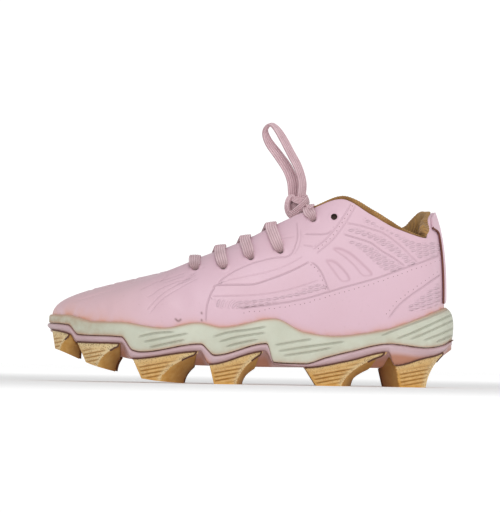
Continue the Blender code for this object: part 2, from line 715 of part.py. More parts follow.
def smooth_route(points, per_span):
    """Catmull-Rom curve through points, and its direction at each sample."""
    points = np.array(points, float)
    padded = np.concatenate([2 * points[:1] - points[1:2], points, 2 * points[-1:] - points[-2:-1]])
    samples = []
    for i in range(len(points) - 1):
        a, b, c, d = padded[i:i + 4]
        for f in np.linspace(0, 1, per_span, endpoint=False):
            samples.append(0.5 * (2 * b + (c - a) * f + (2 * a - 5 * b + 4 * c - d) * f**2
                                  + (3 * b - a - 3 * c + d) * f**3))
    samples.append(points[-1])
    samples = np.array(samples)
    return samples, np.gradient(samples, axis=0)


def ribbon(points, facing, per_span=2):
    """Rings of a flat lace along a route, its broad side turned to the facing directions."""
    samples, along = smooth_route(points, per_span)
    spans = np.linspace(0, 1, len(samples))
    facing = np.array(facing, float)
    turn = np.stack([np.interp(spans, np.linspace(0, 1, len(facing)), facing[:, k]) for k in range(3)], -1)
    across = np.cross(along, turn)
    across /= np.linalg.norm(across, axis=1, keepdims=True)
    face = np.cross(across, along)
    face /= np.linalg.norm(face, axis=1, keepdims=True)
    half, thick = LACE_WIDTH / 2, LACE_THICK / 2
    section = [(-half, 0.0), (-half * 0.8, thick), (half * 0.8, thick), (half, 0.0), (half * 0.8, -thick),
               (-half * 0.8, -thick)]
    return np.array([
        closed(np.array([p + a * w + n * h for w, h in section])) for p, a, n in zip(samples, across, face)
    ])


UP = np.array([0.0, 0.0, 1.0])
LACE_LIFT = LACE_THICK / 2 + 0.5          # lace centre over the upper's face
EDGE_LIFT = 2.3                           # lace centre over the throat's edge
EYELET_CLEAR = 1.2                        # between an eyelet's rim and the lace's end
BAR_SAG = 1.5                             # of the first bar between the throat's edges
tongue_ridge = monotone([(row.x, row.z) for row in TONGUE_ROWS])


def edge_rib(x, side):
    """Rib whose top edge is at x on one side of the throat."""
    half = np.linspace(4.5, TOE, 300)
    u = np.interp(-x, -top_x(half), half)
    return u if SIDES[side] < 0 else RIB_COUNT - u


def strand_over_edge(eyelet, side):
    """Lace from beside an eyelet up the outside and over the throat's edge, with the way it faces."""
    u, t = find_on_upper(eyelet, side)
    u_edge = edge_rib(eyelet.edge_x, side)
    hole, edge = bezier_wall(u, t), bezier_wall(u_edge, 1.0)
    start = (EYELET_RADIUS + EYELET_CLEAR) / np.linalg.norm(edge - hole)
    points, facing = [], []
    for share in np.linspace(start, 0.88, 3):
        x, _, z = hole + share * (edge - hole)
        at = find_on_upper(Place(x, z), side)
        points.append(upper_face(*at, LACE_LIFT))
        facing.append(wall_normal(*at))
    points.append(edge + UP * EDGE_LIFT)
    facing.append(UP + 0.3 * wall_normal(u_edge, 1.0))
    return points, facing


def over_tongue(x):
    return np.array([x, 0.0, tongue_ridge(x) + LACE_LIFT])


def make_lace_bar():
    """First bar, straight across the foot of the throat."""
    near, near_face = strand_over_edge(EYELETS[0], "lateral")
    far, far_face = strand_over_edge(EYELETS[0], "medial")
    middle = over_tongue(near[-1][0])
    middle[2] = max(middle[2], near[-1][2] - BAR_SAG)
    return solid("lace_bar", [ribbon(near + [middle] + far[::-1], near_face + [UP] + far_face[::-1])], LACE)


CROSS_BACK = 0.52         # a crossing's lower end, as a share of the way to the eyelet before
CROSS_SINK = 1.8          # how far that end lies below the throat's edge
CROSS_TUCK = 0.55         # and in from it, as a share of the throat's half width
CROSS_HUMP = 0.8          # extra height where the two strands cross


def make_lace_cross(index):
    """Two strands that come over one edge and go down beside the other, joined where they cross."""
    strands = []
    for side, other in (("lateral", "medial"), ("medial", "lateral")):
        points, facing = strand_over_edge(EYELETS[index], side)
        above, below = EYELETS[index].edge_x, EYELETS[index - 1].edge_x
        edge = bezier_wall(edge_rib(above + CROSS_BACK * (below - above), other), 1.0)
        low = edge - UP * CROSS_SINK
        low[1] *= CROSS_TUCK
        middle = over_tongue((points[-1][0] + low[0]) / 2) + UP * CROSS_HUMP
        strands.append([points + [middle, low], facing + [UP, UP]])
    made = solid(f"lace_cross_{index}", [ribbon(*strands[0])], LACE)
    other = as_cutter(solid(f"lace_cross_{index}_far", [ribbon(*strands[1])], LACE))
    boolean(made, other, "UNION")
    return made


def make_knot():
    """Plain form of the bow's knot."""
    level = np.linspace(-1, 1, 7)
    turn = np.linspace(0, 2 * math.pi, 13)
    rings = []
    for f in level:
        girth = math.sqrt(max(1 - f * f, 0.0)) ** KNOT_SQUARE
        rings.append(np.stack([
            KNOT[0] + KNOT_RADII[0] * girth * np.cos(turn), KNOT[1] + KNOT_RADII[1] * girth * np.sin(turn),
            np.full_like(turn, KNOT[2] + KNOT_RADII[2] * f),
        ], -1))
    return solid("lace_knot", [np.array(rings)], LACE)


def make_loop():
    """Loop of the bow, standing up and leaning to the toe, its broad side to the shoe's side."""
    return solid("lace_loop", [ribbon(LOOP_ROUTE, LOOP_FACING)], LACE)


make_midsole()
stud_cutter = plate_cutter(make_plate())
for row in STUDS:
    for foot_side in SIDES:
        make_stud(row, foot_side, stud_cutter)
make_upper()
make_insole()
make_tongue()
make_lining()
make_backstay()
make_lace_bar()
for crossing in range(1, 5):
    make_lace_cross(crossing)
make_knot()
make_loop()
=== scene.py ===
"""Looks of the left athletic cleat: pink upper, sage midsole, pink plate, gum studs, tan lining and laces.

Everything is drawn in millimetres in the part's own frame, toe to -X, outer side to -Y, floor at z = 0, and
is turned into metres when its mesh is made. The tables of the form are those of the solids.
"""
import math
from collections import namedtuple

import bmesh
import bpy
import numpy as np
from mathutils import Matrix, Vector


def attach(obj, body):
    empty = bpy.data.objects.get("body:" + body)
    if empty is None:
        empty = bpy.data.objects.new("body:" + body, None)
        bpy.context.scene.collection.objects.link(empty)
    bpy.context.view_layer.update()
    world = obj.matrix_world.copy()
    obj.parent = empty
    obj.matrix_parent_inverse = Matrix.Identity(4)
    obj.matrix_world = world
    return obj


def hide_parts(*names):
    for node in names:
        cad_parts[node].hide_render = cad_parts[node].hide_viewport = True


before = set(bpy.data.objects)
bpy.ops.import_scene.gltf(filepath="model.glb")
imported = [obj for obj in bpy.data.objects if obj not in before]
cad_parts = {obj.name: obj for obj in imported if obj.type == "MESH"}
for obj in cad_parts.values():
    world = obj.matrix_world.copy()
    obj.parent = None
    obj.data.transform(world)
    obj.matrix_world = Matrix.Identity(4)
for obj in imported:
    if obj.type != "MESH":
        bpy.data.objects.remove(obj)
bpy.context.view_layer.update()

MM = 0.001

# Form of the shoe: the tables that its solids are drawn from
WALL, GAP, INSOLE, TONGUE, LIP, BACKSTAY = 2.0, 0.3, 3.0, 3.0, 1.3, 1.0
EYELET_RADIUS = 2.0
LACE_WIDTH, LACE_THICK = 6.8, 1.7

Rib = namedtuple("Rib", "base_x lateral medial top_x top_y top_z rise swell crown drop")
RIBS = [
    Rib(118.5, 0.0, 0.0, 111.5, 0.0, 107.5, 0.40, 1.6, 1.05, 0.22),
    Rib(111.5, 16.5, 16.5, 109.3, 13.0, 103.5, 0.40, 1.8, 1.02, 0.24),
    Rib(98.0, 25.8, 25.8, 106.4, 20.0, 91.0, 0.38, 2.2, 0.95, 0.30),
    Rib(79.0, 29.6, 29.0, 89.0, 25.8, 96.0, 0.36, 2.6, 0.85, 0.32),
    Rib(58.0, 30.4, 27.4, 72.5, 26.6, 104.5, 0.35, 3.0, 0.80, 0.33),
    Rib(36.0, 31.8, 25.6, 54.0, 23.0, 114.0, 0.35, 3.4, 0.76, 0.32),
    Rib(12.0, 35.2, 27.2, 36.5, 17.5, 108.3, 0.36, 3.6, 0.74, 0.29),
    Rib(-12.0, 39.4, 32.0, 15.0, 14.5, 98.4, 0.38, 3.6, 0.72, 0.25),
    Rib(-36.0, 42.2, 38.2, -5.0, 13.0, 88.0, 0.42, 3.4, 0.70, 0.22),
    Rib(-60.0, 41.4, 41.8, -22.0, 11.0, 81.2, 0.46, 3.0, 0.70, 0.26),
    Rib(-84.0, 34.5, 40.5, -33.0, 8.0, 76.8, 0.50, 2.6, 0.71, 0.36),
    Rib(-106.0, 18.5, 31.5, -39.0, 4.0, 73.0, 0.52, 2.8, 0.73, 0.45),
    Rib(-122.4, -8.0, 8.0, -41.0, 0.0, 71.6, 0.43, 1.2, 0.74, 0.47),
]
# Ribs where the collar of the inner side is cut otherwise: how far back, and how high
MEDIAL_BACK = {2: 105.0}
MEDIAL_HIGH = {1: 105.8, 2: 102.4}
# Profiles along the shoe: x, and the height or the margin there
FOOTBED = [
    (-121, 38.4), (-105, 34.8), (-85, 31.2), (-60, 28.0), (-35, 26.6), (0, 27.0), (40, 26.8), (80, 29.4),
    (119, 30.8),
]
MIDSOLE_EDGE = [
    (-124, 40.8), (-112, 40.6), (-94, 36.7), (-80, 36.6), (-53, 33.5), (-32, 37.0), (-18, 34.5), (14, 40.3),
    (33, 32.4), (50, 30.5), (80, 34.5), (105, 43.4), (121, 50.4),
]
PLATE_LINE = [
    (-125, 36.0), (-111, 34.7), (-104.5, 28.8), (-78, 27.8), (-71, 19.8), (-66, 18.8), (-30, 24.2),
    (-21.5, 17.6), (10, 25.2), (14.5, 13.8), (33, 13.3), (47, 17.5), (60, 21.0), (85, 26.3), (107, 24.4),
    (117, 26.0), (126, 31.0),
]
PLATE_MIDDLE = [
    (-125, 35.0), (-100, 27.0), (-68, 18.0), (-30, 17.0), (33, 16.0), (85, 18.5), (107, 20.0), (126, 27.5),
]
BAND_EDGE = [
    (-126, 32.4), (-110, 28.9), (-106, 24.4), (-78, 23.8), (-72, 14.8), (-30, 19.8), (-25, 12.2), (9, 20.6),
    (14.5, 12.4), (33, 11.2), (60, 15.8), (84, 21.4), (88, 13.4), (105, 17.8), (119, 22.4), (122, 27.2),
    (126, 29.8),
]
PLATE_UNDERSIDE = [
    (-126, 31.6), (-106, 23.6), (-90, 18.6), (-70, 13.8), (-45, 11.4), (0, 10.8), (40, 11.0), (85, 11.6),
    (110, 15.0), (126, 25.0),
]
TOE_SPRING = [
    (-125, 21.5), (-118, 19.2), (-95, 10.0), (-82, 6.4), (-65, 2.5), (-48, 0.6), (-36, 0.0), (126, 0.0),
]
SOLE_MARGIN = [
    (-122, 2.0), (-112, 3.3), (-95, 3.8), (70, 4.2), (100, 5.0), (119, 6.5),
]

Stud = namedtuple("Stud", "name top_front tip foot_front foot_rear in_front in_rear in_tip depth")
STUDS = [
    Stud("toe", -122.0, -110.5, -120.0, -117.0, -112.5, -104.5, -104.0, 15.0),
    Stud("forefoot", -105.5, -78.6, -100.0, -93.0, -92.0, -82.0, -79.0, 17.0),
    Stud("ball", -71.0, -31.0, -65.5, -54.5, -52.0, -40.0, -34.0, 18.0),
    Stud("arch", -24.5, 8.0, -21.5, -8.0, -15.0, -4.5, 2.0, 18.0),
    Stud("heel_front", 33.5, 83.5, 40.5, 56.0, 46.0, 62.0, 68.0, 18.0),
    Stud("heel_rear", 88.8, 119.0, 91.5, 107.7, 82.0, 98.0, 104.0, 15.0),
]
STUD_TAPER, STUD_INSET, STUD_KNEE = 4.5, 0.4, 1.0
STUD_HOLLOW = (0.12, 0.55)
SIDES = {"lateral": -1.0, "medial": 1.0}

Place = namedtuple("Place", "x z")
Eyelet = namedtuple("Eyelet", "x z edge_x")
EYELETS = [
    Eyelet(-34.0, 70.2, -34.6), Eyelet(-17.5, 71.5, -19.4), Eyelet(-0.5, 77.5, -4.2),
    Eyelet(17.0, 82.0, 11.2), Eyelet(37.0, 101.4, 34.2), Eyelet(49.6, 103.5, None),
]
TongueRow = namedtuple("TongueRow", "x z half_width")
TONGUE_ROWS = [
    TongueRow(-52.0, 63.5, 13.0), TongueRow(-40.0, 67.2, 16.0), TongueRow(-20.0, 75.0, 19.0),
    TongueRow(0.0, 83.6, 20.0), TongueRow(22.0, 95.0, 20.5), TongueRow(42.0, 105.0, 20.0),
]
TONGUE_ARCH = 0.62
# Round the section of the collar lining: share of the wall's height, depth inside it and lift above its edge
LINING_ROWS = [
    (0.62, 0.4, 0.0), (0.82, 0.4, 0.0), (1.0, 0.2, 0.5), (1.0, -1.1, 2.3), (1.0, 1.6, 2.6),
    (0.99, 3.8, 0.0), (0.88, 4.6, 0.0), (0.74, 3.0, 0.0), (0.62, 1.0, 0.0),
]
LINING_REACH, LINING_THIN, LINING_FADE = 6.0, 0.35, 1.6
# How full the roll of the collar is, by ribs from the heel: the inner side is below zero
ROLL_FULL = [
    (-6.0, 1.0), (-5.0, 1.1), (-4.7, 1.2), (-4.4, 1.3), (-4.0, 1.45), (-3.3, 1.3), (-2.9, 0.7),
    (-2.6, 0.75), (-2.3, 1.4), (-1.9, 1.9), (-1.4, 1.6), (-0.9, 1.2), (-0.3, 0.8), (0.2, 0.4), (0.7, 0.1),
    (1.6, 0.2), (2.0, 0.55), (2.8, 0.85), (3.3, 1.35), (4.0, 1.45), (4.4, 1.38), (4.7, 1.25), (5.0, 1.15),
    (6.0, 1.0),
]
BACKSTAY_HALF, TAB_HALF, TAB_START, BACKSTAY_CLEAR = 0.44, 1.06, (0.78, 0.92), 0.03

KNOT = np.array([27.6, 0.0, 110.0])
RoutePoint = namedtuple("RoutePoint", "x y z")
LOOP_ROUTE = [
    RoutePoint(30.0, -2.4, 117.2), RoutePoint(30.3, -2.8, 125.0), RoutePoint(27.6, -3.0, 134.0),
    RoutePoint(22.8, -3.0, 143.0), RoutePoint(17.6, -2.4, 152.4), RoutePoint(13.2, -1.2, 158.6),
    RoutePoint(9.6, 0.2, 160.2), RoutePoint(7.0, 1.4, 156.2), RoutePoint(9.3, 2.4, 149.6),
    RoutePoint(16.0, 3.0, 140.8), RoutePoint(21.4, 3.0, 133.0), RoutePoint(24.3, 2.8, 125.5),
    RoutePoint(25.2, 2.4, 117.2),
]
LOOP_FACING = [
    (0.9, -1.0, 0.1), (0.9, -1.0, 0.15), (0.9, -1.0, 0.4), (0.3, -0.3, 1.0), (-1.0, 0.3, 0.3),
    (-0.7, 0.8, 0.0), (-0.3, 1.0, 0.0), (-0.2, 1.0, 0.0),
]
CROSS_BACK, CROSS_SINK, CROSS_TUCK, CROSS_HUMP = 0.52, 1.8, 0.55, 0.8
LACE_LIFT, EDGE_LIFT, EYELET_CLEAR, BAR_SAG = LACE_THICK / 2 + 0.5, 2.3, 1.2, 1.5

SLOPE_STEP, WALL_STEP = 0.01, 0.004        # ribs apart, where slopes are taken
FAR = 99.0                                  # stands for any distance out of reach
RIB_COUNT = 2 * (len(RIBS) - 1)
TOE = RIB_COUNT // 2
UP = np.array([0.0, 0.0, 1.0])


# Curves and faces of the form
def monotone(rows):
    """Smooth curve through (x, value) rows that never overshoots them."""
    x = np.array([row[0] for row in rows], float)
    y = np.array([row[1] for row in rows], float)
    run = np.diff(x)
    slope = np.diff(y) / run
    turn = slope[:-1] * slope[1:] > 0
    weight = 2 * run[1:] + run[:-1], run[1:] + 2 * run[:-1]
    safe = np.where(turn, slope[:-1], 1.0), np.where(turn, slope[1:], 1.0)
    inner = np.where(turn, (weight[0] + weight[1]) / (weight[0] / safe[0] + weight[1] / safe[1]), 0.0)
    tangent = np.concatenate([slope[:1], inner, slope[-1:]])

    def at(where):
        where = np.clip(np.asarray(where, float), x[0], x[-1])
        i = np.clip(np.searchsorted(x, where, side="right") - 1, 0, len(run) - 1)
        f = (where - x[i]) / run[i]
        rise = y[i] + (3 * f**2 - 2 * f**3) * (y[i + 1] - y[i])
        return rise + run[i] * (f * (1 - f) ** 2 * tangent[i] - f**2 * (1 - f) * tangent[i + 1])

    return at


def closed_spline(values):
    """Smooth closed curve through values at 0, 1, 2 and so on."""
    values = np.array(values, float)
    n = len(values)
    turn = 4 * np.eye(n) + np.roll(np.eye(n), 1, 0) + np.roll(np.eye(n), -1, 0)
    tangent = np.linalg.solve(turn, 3 * (np.roll(values, -1) - np.roll(values, 1)))

    def at(u):
        u = np.asarray(u, float)
        i = np.floor(u).astype(int)
        f = u - i
        a, b = i % n, (i + 1) % n
        rise = values[a] + (3 * f**2 - 2 * f**3) * (values[b] - values[a])
        return rise + f * (1 - f) ** 2 * tangent[a] - f**2 * (1 - f) * tangent[b]

    return at


def round_shoe(column, mirrored=False):
    """A rib column's values round the shoe: down the lateral side and back up the medial one."""
    lateral = [getattr(rib, column) for rib in RIBS]
    medial = lateral[-2:0:-1]
    return [-v for v in lateral] + medial if mirrored else lateral + medial


def own_inner(values, inner):
    """Values round the shoe, with those of some ribs changed on the inner side."""
    return [inner.get(len(values) - i, value) if i > TOE else value for i, value in enumerate(values)]


def closed_monotone(values, extra=8):
    """Curve round the shoe that never overshoots, through values and as many extra ones past both ends."""
    n = len(values)
    return monotone([(u, values[u % n]) for u in range(-extra, n + extra + 1)])


footbed = monotone(FOOTBED)
midsole_edge = monotone(MIDSOLE_EDGE)
plate_line = monotone(PLATE_LINE)
plate_middle = monotone(PLATE_MIDDLE)
band_edge = monotone(BAND_EDGE)
plate_underside = monotone(PLATE_UNDERSIDE)
toe_spring = monotone(TOE_SPRING)
sole_margin = monotone(SOLE_MARGIN)
tongue_ridge = monotone([(row.x, row.z) for row in TONGUE_ROWS])
tongue_half = monotone([(row.x, row.half_width) for row in TONGUE_ROWS])

base_x = closed_spline(round_shoe("base_x"))
base_y = closed_spline([-rib.lateral for rib in RIBS] + [rib.medial for rib in RIBS[-2:0:-1]])
top_x = closed_spline(own_inner(round_shoe("top_x"), MEDIAL_BACK))
top_y = closed_spline(round_shoe("top_y", mirrored=True))
top_z = closed_monotone(own_inner(round_shoe("top_z"), MEDIAL_HIGH))
rise_share = closed_monotone(round_shoe("rise"))
swell_out = closed_monotone(round_shoe("swell"))
crown_share = closed_monotone(round_shoe("crown"))
drop_share = closed_monotone(round_shoe("drop"))


def bell(value, width):
    """Bump of height 1 at zero that is gone a few widths away."""
    return np.exp(-((value / width) ** 2))


def walk(points):
    """Distance walked along a row of points, at each of them."""
    return np.cumsum(np.linalg.norm(np.diff(points, axis=0, prepend=points[:1]), axis=-1))


def between(where, stations, rows):
    """Rows of values at places between their stations."""
    return np.stack([np.interp(where, stations, column) for column in np.transpose(rows)], -1)


def grid(*coordinates):
    """Points from their coordinates."""
    return np.stack(np.broadcast_arrays(*coordinates), -1)


def circle(axis, sides, beside=UP):
    """Unit circle square to an axis, whose first point comes again at its end."""
    turn = np.linspace(0, 2 * math.pi, sides + 1)[:, None]
    across = unit(np.cross(axis, beside))[..., None, :]
    return np.cos(turn) * across + np.sin(turn) * np.cross(axis[..., None, :], across)


def both_sides(half):
    """Ribs of the outer side, and the same ones of the inner side back to the heel."""
    return np.concatenate([half, RIB_COUNT - half[-2::-1]])


def smoothstep(low, high, value):
    f = np.clip((value - low) / (high - low), 0, 1)
    return f * f * (3 - 2 * f)


def unit(vectors):
    return vectors / np.linalg.norm(vectors, axis=-1, keepdims=True)


def plan_normal(u):
    """Outward direction of the feather line in plan."""
    dx = base_x(u + SLOPE_STEP) - base_x(u - SLOPE_STEP)
    dy = base_y(u + SLOPE_STEP) - base_y(u - SLOPE_STEP)
    size = np.hypot(dx, dy)
    return -dy / size, dx / size


def bezier_wall(u, t):
    """Point of the upper's outer face at rib u, from the feather line t = 0 to the top edge t = 1."""
    u, t = np.broadcast_arrays(np.asarray(u, float), np.asarray(t, float))
    bx, by, tx, ty, tz = base_x(u), base_y(u), top_x(u), top_y(u), top_z(u)
    bz = footbed(bx) + GAP
    nx, ny = plan_normal(u)
    swell, crown = swell_out(u), crown_share(u)
    low = bx + nx * swell, by + ny * swell, bz + rise_share(u) * (tz - bz)
    high = tx + crown * (bx - tx), ty + crown * (by - ty), tz - drop_share(u) * (tz - bz)
    ends = (bx, by, bz), (tx, ty, tz)
    weights = (1 - t) ** 3, 3 * t * (1 - t) ** 2, 3 * t**2 * (1 - t), t**3
    return np.stack([
        weights[0] * ends[0][k] + weights[1] * low[k] + weights[2] * high[k] + weights[3] * ends[1][k]
        for k in range(3)
    ], -1)


def along_wall(u, t):
    return bezier_wall(u + WALL_STEP, t) - bezier_wall(u - WALL_STEP, t)


def wall_normal(u, t):
    up = bezier_wall(u, np.minimum(t + WALL_STEP, 1.0)) - bezier_wall(u, np.maximum(t - WALL_STEP, 0.0))
    return unit(np.cross(up, along_wall(u, t)))


def edge_away(u):
    """Direction out of the upper's wall at its top edge, square to that edge."""
    return unit(np.cross(along_wall(u, 1.0), wall_normal(u, 1.0)))


def upper_face(u, t, out):
    """The upper's outer face, moved out along its normal."""
    u, t = np.broadcast_arrays(np.asarray(u, float), np.asarray(t, float))
    return bezier_wall(u, t) + wall_normal(u, t) * np.asarray(out)[..., None]


def find_on_upper(place, side):
    """Rib and height of the upper's outer face that the side view shows at a place."""
    half = np.linspace(0.5, TOE - 0.5, 240)
    u = half if SIDES[side] < 0 else RIB_COUNT - half
    t = np.linspace(0.05, 0.99, 120)
    points = bezier_wall(u[:, None], t[None, :])
    miss = (points[..., 0] - place.x) ** 2 + (points[..., 2] - place.z) ** 2
    i, j = np.unravel_index(np.argmin(miss), miss.shape)
    return u[i], t[j]


def even_ribs(start, end, count, t=0.4):
    """Ribs between two that are evenly spaced along the wall."""
    dense = np.linspace(start, end, 2000)
    walked = walk(bezier_wall(dense, t))
    return np.interp(np.linspace(0, walked[-1], count), walked, dense)


def outline(u, out):
    nx, ny = plan_normal(u)
    return base_x(u) + nx * out, base_y(u) + ny * out


def edge_share(u):
    """How far up the wall the midsole's edge reaches."""
    t = np.linspace(0, 0.6, 61)
    return np.array([np.interp(midsole_edge(base_x(v)), bezier_wall(v, t)[:, 2], t) for v in u])


# Side view: places on the shoe from places in the photograph, whose floor leans a little
PIXEL = 0.6158            # millimetres of shoe in one pixel of the photograph
PHOTO_ORIGIN = (238.0, 281.5)
PHOTO_LEAN = 0.0178


def spot(px, py):
    """Place on the shoe, in the side view, of a place in the photograph."""
    right, up = px - PHOTO_ORIGIN[0], PHOTO_ORIGIN[1] - py
    return PIXEL * (right - PHOTO_LEAN * up), PIXEL * (up + PHOTO_LEAN * right)


def smooth_route(points, per_span):
    """Catmull-Rom curve through points."""
    points = np.array(points, float)
    padded = np.concatenate([2 * points[:1] - points[1:2], points, 2 * points[-1:] - points[-2:-1]])
    samples = []
    for a, b, c, d in zip(padded, padded[1:], padded[2:], padded[3:]):
        bend, twist = 2 * a - 5 * b + 4 * c - d, 3 * b - a - 3 * c + d
        for f in np.linspace(0, 1, per_span, endpoint=False):
            samples.append(0.5 * (2 * b + (c - a) * f + bend * f**2 + twist * f**3))
    return np.array([*samples, points[-1]])


def photo_line(points, per_span=5):
    return smooth_route([spot(*point) for point in points], per_span)


def from_line(x, z, line, reach):
    """Signed distance to the left of a line, or FAR out of reach, the way along it, and its length."""
    apart, along = np.full(x.shape, FAR), np.zeros(x.shape)
    low, high = line.min(0) - reach, line.max(0) + reach
    inside = (x > low[0]) & (x < high[0]) & (z > low[1]) & (z < high[1])
    px, pz = x[inside], z[inside]
    best, side, way = np.full(px.shape, np.inf), np.zeros(px.shape), np.zeros(px.shape)
    walked = 0.0
    for (ax, az), (bx, bz) in zip(line[:-1], line[1:]):
        dx, dz = bx - ax, bz - az
        length = math.hypot(dx, dz)
        share = np.clip(((px - ax) * dx + (pz - az) * dz) / length**2, 0, 1)
        ex, ez = px - ax - share * dx, pz - az - share * dz
        miss = np.hypot(ex, ez)
        closer = miss < best
        best = np.where(closer, miss, best)
        side = np.where(closer, np.where(dx * ez - dz * ex >= 0, 1.0, -1.0), side)
        way = np.where(closer, walked + share * length, way)
        walked += length
    apart[inside] = best * side
    along[inside] = way
    return apart, along, walked


def inside_shape(x, z, shape):
    """Which places lie inside a closed shape, by counting the edges that a ray from each one crosses."""
    odd = np.zeros(x.shape, bool)
    for (ax, az), (bx, bz) in zip(shape, np.roll(shape, -1, axis=0)):
        spans = (az > z) != (bz > z)
        with np.errstate(divide="ignore", invalid="ignore"):
            crossing = ax + (z - az) * (bx - ax) / (bz - az)
        odd ^= spans & (x < crossing)
    return odd


# Meshes
Patch = namedtuple("Patch", "points marks uv finish")


def patch(points, marks=None, uv=None, finish=0):
    return Patch(np.asarray(points, float), marks or {}, uv, finish)


def add_object(name, data):
    made = bpy.data.objects.new(name, data)
    bpy.context.scene.collection.objects.link(made)
    return made


def to_data(mesh, name):
    data = bpy.data.meshes.new(name)
    mesh.to_mesh(data)
    mesh.free()
    return data


MERGE, SLIVER = 2e-6, 1e-7          # metres within which points of two patches meet, and edges are dropped


def make_piece(name, patches, finishes, replaced=(), crease=50.0):
    """One closed piece from grids of points that share their edges, with marks and a map for its material."""
    verts, faces, uvs, index, marks = [], [], [], [], {}
    names = sorted({key for part in patches for key in part.marks})
    start = 0
    for part in patches:
        rows, columns = part.points.shape[:2]
        count = rows * columns
        verts.append(part.points.reshape(-1, 3) * MM)
        corner = start + np.arange(count).reshape(rows, columns)
        quads = np.stack([corner[:-1, :-1], corner[:-1, 1:], corner[1:, 1:], corner[1:, :-1]], -1)
        quads = quads.reshape(-1, 4)
        faces.append(quads)
        index.append(np.full(len(quads), part.finish))
        uvs.append(np.zeros((count, 2)) if part.uv is None else np.asarray(part.uv, float).reshape(-1, 2))
        for key in names:
            value = np.broadcast_to(part.marks.get(key, 0.0), (rows, columns))
            marks.setdefault(key, []).append(value.reshape(-1))
        start += count
    data = bpy.data.meshes.new(name)
    data.from_pydata(np.concatenate(verts).tolist(), [], np.concatenate(faces).tolist())
    data.polygons.foreach_set("material_index", np.concatenate(index).astype(np.int32))
    for key in names:
        layer = data.attributes.new(key, "FLOAT", "POINT")
        layer.data.foreach_set("value", np.concatenate(marks[key]).astype(np.float32))
    corner_of = np.zeros(len(data.loops), np.int32)
    data.loops.foreach_get("vertex_index", corner_of)
    data.uv_layers.new(name="weave").data.foreach_set(
        "uv", np.concatenate(uvs)[corner_of].astype(np.float32).ravel())
    mesh = bmesh.new()
    mesh.from_mesh(data)
    bmesh.ops.remove_doubles(mesh, verts=mesh.verts, dist=MERGE)
    bmesh.ops.dissolve_degenerate(mesh, edges=mesh.edges, dist=SLIVER)
    bmesh.ops.holes_fill(mesh, edges=[edge for edge in mesh.edges if edge.is_boundary], sides=0)
    bmesh.ops.recalc_face_normals(mesh, faces=mesh.faces)
    if mesh.calc_volume(signed=True) < 0:
        bmesh.ops.reverse_faces(mesh, faces=mesh.faces)
    mesh.to_mesh(data)
    mesh.free()
    for finish in finishes:
        data.materials.append(finish)
    data.shade_smooth()
    data.set_sharp_from_angle(angle=math.radians(crease))
    made = add_object(name, data)
    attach(made, "root")
    if replaced:
        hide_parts(*replaced)
    return made


def walls(high, low):
    """Patches that close the four sides between two faces."""
    sides = (0,), (-1,), (slice(None), 0), (slice(None), -1)
    return [patch(np.stack([high[side], low[side]])) for side in sides]


def bridge(first, second, rows):
    """Grid between two rows of points."""
    share = np.linspace(0, 1, rows)[:, None, None]
    return first[None] + share * (second - first)[None]


# Materials
LACE_RIBS, STITCH_LONG, STITCH_SLANT = 5, 0.85, 1.24
# Rows of small scales moulded in the quarter, and the fine lines of the upper
SCALE_ROW, SCALE_LONG, SCALE_DEEP, SCALE_SLANT, SCALE_BLUNT = 2.4, 4.4, 0.8, 0.35, 0.45
SEAM_WIDTH, SEAM_DEEP = 0.45, 0.45


